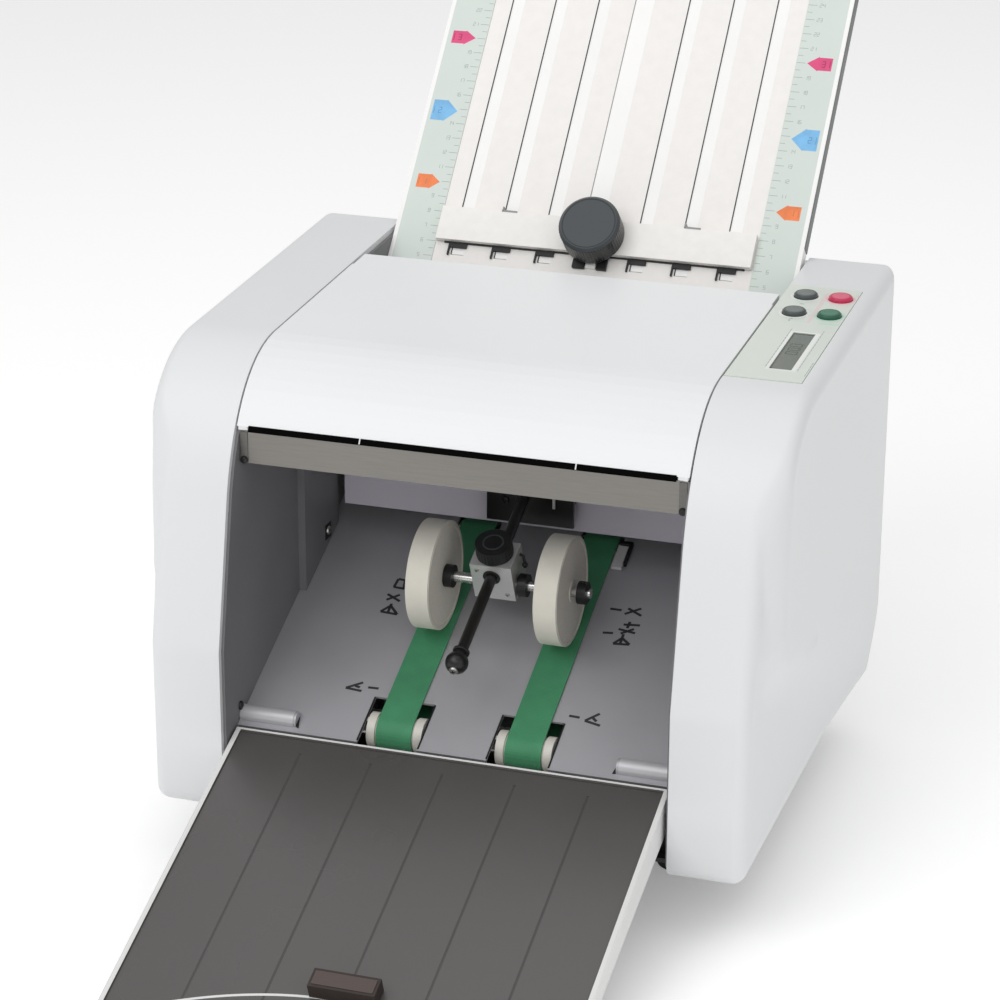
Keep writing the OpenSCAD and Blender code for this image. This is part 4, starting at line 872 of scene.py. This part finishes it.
# The deck's two sides, and the same small parts on the side frames
NOTCH_RUN = (-11, 21.4)
STEP_SCREW = (121.0, 150.0, 112.0)
BRACKET_Y = 32.5
for side, tag in ((-1, "left"), (1, "right")):
    m = DECK @ Matrix.Scale(side, 4, (1, 0, 0))
    inward = "X" if side < 0 else "-X"
    ring("deck_tab_sleeve_" + tag, turned(0, -3.4, 0.6, m, "X"), 4.62, 4.95, 93.4, 125.0, "tab_light", "base")
    flat("deck_tab_notch_" + tag, m, [[(90.2, -8.6), (92.4, 1.0), (95.0, -7.0)]], 0.02, 0.9, "black", "base",
         "deck_steel")
    flat("deck_belt_notch_edge_" + tag, m, [rect(19.2, 20.1, *NOTCH_RUN), rect(54.5, 55.4, *NOTCH_RUN)],
         0.01, 0.3, "black", "base", "deck_steel")
    screw("deck_front_screw_" + tag, turned(side * 125.3, 24, 54, BODY, inward), "base", 2.6, "screw_dark")
    screw("step_screw_" + tag, turned(side * STEP_SCREW[0], *STEP_SCREW[1:], BODY, inward), "base", 2.6,
          "screw")
    block("step_screw_seat_" + tag, BODY, [(*both(120.7, 121.15, side), 146.0, 154.5, 107.0, 116.0)],
          "black", "base", 0.2)
    block("bar_bracket_" + tag, BODY, [(*both(124.9, 120.4, side), BRACKET_Y, 33.05, 194.9, 212.6)],
          "bracket_dark", "base", 0.2)
    screw("bar_screw_" + tag, turned(side * 122.6, BRACKET_Y, 196.6, BODY, "-Y"), "base", 2.2, "screw_dark")
    block("lid_corner_" + tag, BODY, [(*both(FRAME_HW, 119.6, side), 31.6, 36.0, 213.8, 216.3)], "cover",
          "top_lid", 0.6)
block("bar_gap_shade", BODY, [(-119, 124.5, 36.5, 37.2, 213.32, 221)], "black", "base")

# A dark band, a painted shadow gap, and two light ticks along the lid's lip, on its curved front
LIP_Z, LIP_HW = (213.6, 216.7), 119.2
lip_line = [p for p in brow(400) if LIP_Z[0] < p[1] < LIP_Z[1]]
lip_shadow_outline = [(y - 0.16, z + 0.16) for y, z in lip_line] + [(y + 0.5, z - 0.5) for y, z in lip_line[::-1]]
flat("lid_lip_painted_shadow", BODY @ SIDE_PLANE, [lip_shadow_outline], -LIP_HW, LIP_HW, "shadow_gap_black", "top_lid", "lid_plastic")
tick_edge = [(y - 0.3, z + 0.3) for y, z in lip_line[::4]] + [(y, z) for y, z in lip_line[::-4]]
for tag, x in (("left", -55.2), ("right", 65.0)):
    flat("lid_tick_" + tag, BODY @ SIDE_PLANE, [tick_edge], x - 0.35, x + 0.35, "tab_white", "top_lid",
         "lid_plastic")

# ---------------------------------------------------------------- stacker
ROD_Y, ROD_Z, BLOCK_Y = 17.6, 42.7, 83.0
AXLE = (89.4, 32.5)
LOCK = DECK @ Matrix.Translation((0, 93.4, 0))
ROD_END = turned(0, ROD_Y, ROD_Z, DECK, "-Y")
ring("rod_collar", ROD_END, 3.3, 4.7, -9.0, -7.2, "black", "base", edge=0.4)
screw("rod_end_screw", ROD_END @ Matrix.Translation((0, 0, 5.9)), "base", 2.6, "screw")
ring("lock_knob_grip", LOCK, 9.6, 10.5, 51.8, 59.2, "black", "stacker_lock",
     flutes=32, depth=0.35, edge=0.4)
ring("lock_knob_face", LOCK, 5.2, 6.0, 59.6, 59.95, "knob", "stacker_lock")
for tag, x in (("l_out", -44.1), ("l_in", -30.5), ("r_in", 29.9), ("r_out", 43.5)):
    ring("wheel_hub_" + tag, turned(x, *AXLE, DECK, "X"), 3.2, 6.0, 0.0, 0.5, "wheel", "stacker_wheel_set",
         edge=0.2)
for tag, x in (("l_out", -43.9), ("l_in", -30.5), ("r_in", 30.1), ("r_out", 43.5)):
    ring("tyre_shoulder_" + tag, turned(x, *AXLE, DECK, "X"), 28.6, 30.2, 0.0, 0.4, "tyre",
         "stacker_wheel_set", edge=0.15)
for tag, x in (("l", -46.0), ("r", 50.0)):
    screw("collar_screw_" + tag, DECK @ Matrix.Translation((x, AXLE[0], AXLE[1] + 6.3)), "stacker_wheel_set",
          1.4, "screw_dark")
bm = bmesh.new()
add_tube(bm, [(12.1, 99, 47), (14.2, 98.8, 46), (14.8, 97.6, 42)], 0.9)
add_lathe(bm, [(0, -1.8), (1.3, -1.3), (1.8, 0), (1.3, 1.3), (0, 1.8)], 16,
          Matrix.Translation((14.8, 97.4, 40.6)))
finish_piece("block_thumb_pin", bm, DECK, "black", "stacker_carriage", 50)
for tag, x, z in (("low", 7.6, 30.0), ("high", -8.2, 47.0)):
    screw("block_screw_" + tag, turned(x, BLOCK_Y, z, DECK, "-Y"), "stacker_carriage", 1.3, "screw")
ring("block_rod_bush", turned(0, BLOCK_Y, ROD_Z, DECK, "-Y"), 3.3, 5.0, 0.0, 0.8, "black",
     "stacker_carriage", edge=0.2)
block("bracket_light_tab", BODY, [(13.6, 15.2, 157.2, 158.0, 139, 149)], "tab_white", "base",
      0.2)
screw("bracket_screw", turned(-14.5, 158.0, 141.0, BODY, "-Y"), "base", 2.2, "screw_dark")

# ---------------------------------------------------------------- controls
OVERLAY_TOP = 0.4
RULE_H, HALO_H, BORDER_H = OVERLAY_TOP + 0.04, OVERLAY_TOP + 0.05, OVERLAY_TOP + 0.06
BORDER, WINDOW = (145.9, 162.4, 21.4, 82.6), (147.4, 160.0, 22.8, 81.2)
DASH, DASH_STEP, DASH_HW = 3.4, 4.4, 0.22
DASHED = ((145.3, 25, 87), (163.2, 23, 87), (168.6, 16, 38))         # x, start and end of each dashed line
flat("display_border", TOP, frame_shapes(BORDER, WINDOW), OVERLAY_TOP, BORDER_H, "ink_light", "base",
     "overlay_green")
rules = []
for x, start, end in DASHED:
    a = start
    while a < end:
        rules.append(rect(x - DASH_HW, x + DASH_HW, a, min(a + DASH, end)))
        a += DASH_STEP
# short marks beside the keys
rules += [rect(140.0, 142.6, 127.2, 128.0), rect(139.6, 141.8, 102.2, 103.0), rect(140.2, 141.0, 98.4, 100.4),
          rect(138.6, 143.2, 150.6, 151.2)]
flat("overlay_rules", TOP, rules, OVERLAY_TOP, RULE_H, "ink_grey", "base", "overlay_green")
display = TOP @ Matrix.Translation((153.7, 52, 0)) @ Matrix.Rotation(math.radians(90), 4, "Z")
flat("display_digits", display, digits("000", -4.0, -3.0, 6.2, 3.6, 2.6, 0.75), 0.0, 0.03, "lcd_ink_and_shade", "base",
     "lcd_grey")
# Along the recessed window's edges: painted shadow in the digits' dark colour
flat("display_shade", TOP, [rect(147.75, 159.65, 79.2, 80.95), rect(147.75, 148.5, 23.1, 79.2),
                            rect(147.75, 151.6, 23.1, 25.2)], 0.0, 0.02, "lcd_ink_and_shade", "base", "lcd_grey")

KEY_LEFT, KEY_RIGHT, KEY_FRONT, KEY_REAR = 140.5, 160.5, 112, 141
KEY_CROWN = [(4.9, 2.6), (4.7, 2.68), (3.2, 2.63), (0, 2.61)]
KEYS = (("rear_left", KEY_LEFT, KEY_REAR, "ink_light", "dark"),
        ("stop", KEY_RIGHT, KEY_REAR, "ink_rose", "red"),
        ("front_left", KEY_LEFT, KEY_FRONT, "ink_light", "dark"),
        ("start", KEY_RIGHT, KEY_FRONT, "ink_mint", "green"))
for name, x, y, halo, colour in KEYS:
    at = TOP @ Matrix.Translation((x, y, 0))
    ring("key_halo_" + name, at, 7.2, 8.6, OVERLAY_TOP, HALO_H, halo, "base")
    # each key's top, in the lighter copy of its colour: painted highlight
    bm = bmesh.new()
    add_lathe(bm, KEY_CROWN, 40)
    finish_piece("key_highlight_" + name, bm, at, "key_%s_face" % colour, name + "_key", 60)
flat("key_band_rose", TOP, [rect(150.4, 152.6, 98.4, 149.6), rect(167.4, 168.9, 147.4, 151.4)], OVERLAY_TOP,
     RULE_H, "ink_rose_pale", "base", "overlay_green")
flat("key_band_mint", TOP, [rect(157.0, 168.8, 97.4, 99.6)], OVERLAY_TOP, RULE_H, "ink_mint", "base",
     "overlay_green")

# ---------------------------------------------------------------- rear
REAR_Y, REAR_SCREW_R = 287.6, 3.0
block("inlet_pins", BODY, [(143.2, 145.2, 284, 294, 40.4, 46.4), (154.8, 156.8, 284, 294, 40.4, 46.4),
                           (149.0, 151.0, 284, 294, 35.6, 39.8)], "screw", "base", 0.3)
for x, z in ((-112, 178), (112, 178), (-118, 20), (118, 20), (-118, 150), (118, 150)):
    screw("rear_screw_%d_%d" % (x + 200, z), turned(x, REAR_Y, z, BODY, "Y"), "base", REAR_SCREW_R)
RIM_HW, RIM_INNER_HW, RIM_Y = 98, 96, (287.5, 289.0)
rim_bars = [(-RIM_HW, RIM_HW, *RIM_Y, 22, 24), (-RIM_HW, RIM_HW, *RIM_Y, 158, 160)]
rim_posts = [(*both(RIM_HW, RIM_INNER_HW, side), *RIM_Y, 24, 158) for side in (-1, 1)]
block("hand_window_rim", BODY, rim_bars + rim_posts, "cover", "base", 0.5)

GUIDE_X, GUIDE_RUN = (105.1, 105.5), (62, 108)
for tag, side in (("left", -1), ("right", 1)):
    ribs = [(*GUIDE_X, *GUIDE_RUN, 15.0, 16.0), (*GUIDE_X, *GUIDE_RUN, 6.0, 7.0)]
    block("guide_rib_" + tag, FEED @ Matrix.Scale(side, 4, (1, 0, 0)), ribs, "trim_and_shade", "guide_" + tag,
          0.15)
table_ticks = [rect(-104 + 4 * i - 0.2, -104 + 4 * i + 0.2, 138 if i % 5 else 134, 142) for i in range(53)]
flat("table_ticks", FEED, table_ticks, -1.5, -1.46, "ink_grey", "table", "table_plastic")


# ---------------------------------------------------------------- camera, light, floor
CAMERA_AT = (502.43, -1434.89, 781.85)
YAW, PITCH, ROLL = (math.radians(v) for v in (18.0945, 20.9435, 0.1976))
FOCAL_PX, IMAGE_PX, SENSOR_MM = 3131.18, 1000, 36.0
FLOOR_HALF_M = 12.0
WORLD_STRENGTH = 0.52


def camera():
    """The photograph's camera, solved from its straight edges and printed scale."""
    forward = Vector((-math.sin(YAW) * math.cos(PITCH), math.cos(YAW) * math.cos(PITCH), -math.sin(PITCH)))
    across = Vector((math.cos(YAW), math.sin(YAW), 0))
    upward = across.cross(forward)
    level = math.cos(ROLL) * across + math.sin(ROLL) * upward
    plumb = -math.sin(ROLL) * across + math.cos(ROLL) * upward
    data = bpy.data.cameras.new("camera")
    data.sensor_width = SENSOR_MM
    data.lens = FOCAL_PX * SENSOR_MM / IMAGE_PX
    data.clip_end = 50
    o = bpy.data.objects.new("camera", data)
    turn = Matrix([[level[i], plumb[i], -forward[i]] for i in range(3)]).to_4x4()
    o.matrix_world = Matrix.Translation(point(*CAMERA_AT)) @ turn
    bpy.context.scene.collection.objects.link(o)
    bpy.context.scene.camera = o


def area_light(name, at, target, size, power):
    """A white rectangular light that faces a target, in metres."""
    d = bpy.data.lights.new(name, "AREA")
    d.shape = "RECTANGLE"
    d.size, d.size_y = size
    d.energy = power
    o = bpy.data.objects.new(name, d)
    o.location = at
    o.rotation_euler = (Vector(target) - Vector(at)).to_track_quat("-Z", "Y").to_euler()
    bpy.context.scene.collection.objects.link(o)


def studio_floor():
    """A wide pale floor that glows a little, so that it comes out nearly white."""
    s = FLOOR_HALF_M
    mesh = bpy.data.meshes.new("floor")
    mesh.from_pydata([(-s, -s, 0), (s, -s, 0), (s, s, 0), (-s, s, 0)], [], [(0, 1, 2, 3)])
    floor = bpy.data.objects.new("floor", mesh)
    bpy.context.scene.collection.objects.link(floor)
    material, _, bsdf = new_material("floor_pale")
    bsdf.inputs["Base Color"].default_value = (0.94, 0.94, 0.94, 1)
    bsdf.inputs["Roughness"].default_value = 0.8
    bsdf.inputs["Emission Color"].default_value = (1, 1, 1, 1)
    bsdf.inputs["Emission Strength"].default_value = 0.24
    mesh.materials.append(material)


camera()
area_light("key", (-0.9, -1.5, 2.0), (0, 0, 0.2), (1.6, 1.6), 17)
area_light("top", (0.1, 0.3, 2.3), (0, 0, 0.2), (2.4, 2.4), 11.5)
area_light("fill", (1.6, -1.2, 0.9), (0, 0, 0.2), (1.4, 1.4), 3)
area_light("front", (0.15, -1.9, 1.4), (0, -0.05, 0.14), (1.5, 0.9), 5)
world = bpy.data.worlds.new("studio")
world.use_nodes = True
world.node_tree.nodes["Background"].inputs[0].default_value = (1, 1, 1, 1)
world.node_tree.nodes["Background"].inputs[1].default_value = WORLD_STRENGTH
bpy.context.scene.world = world
bpy.context.scene.view_settings.view_transform = "Standard"
studio_floor()
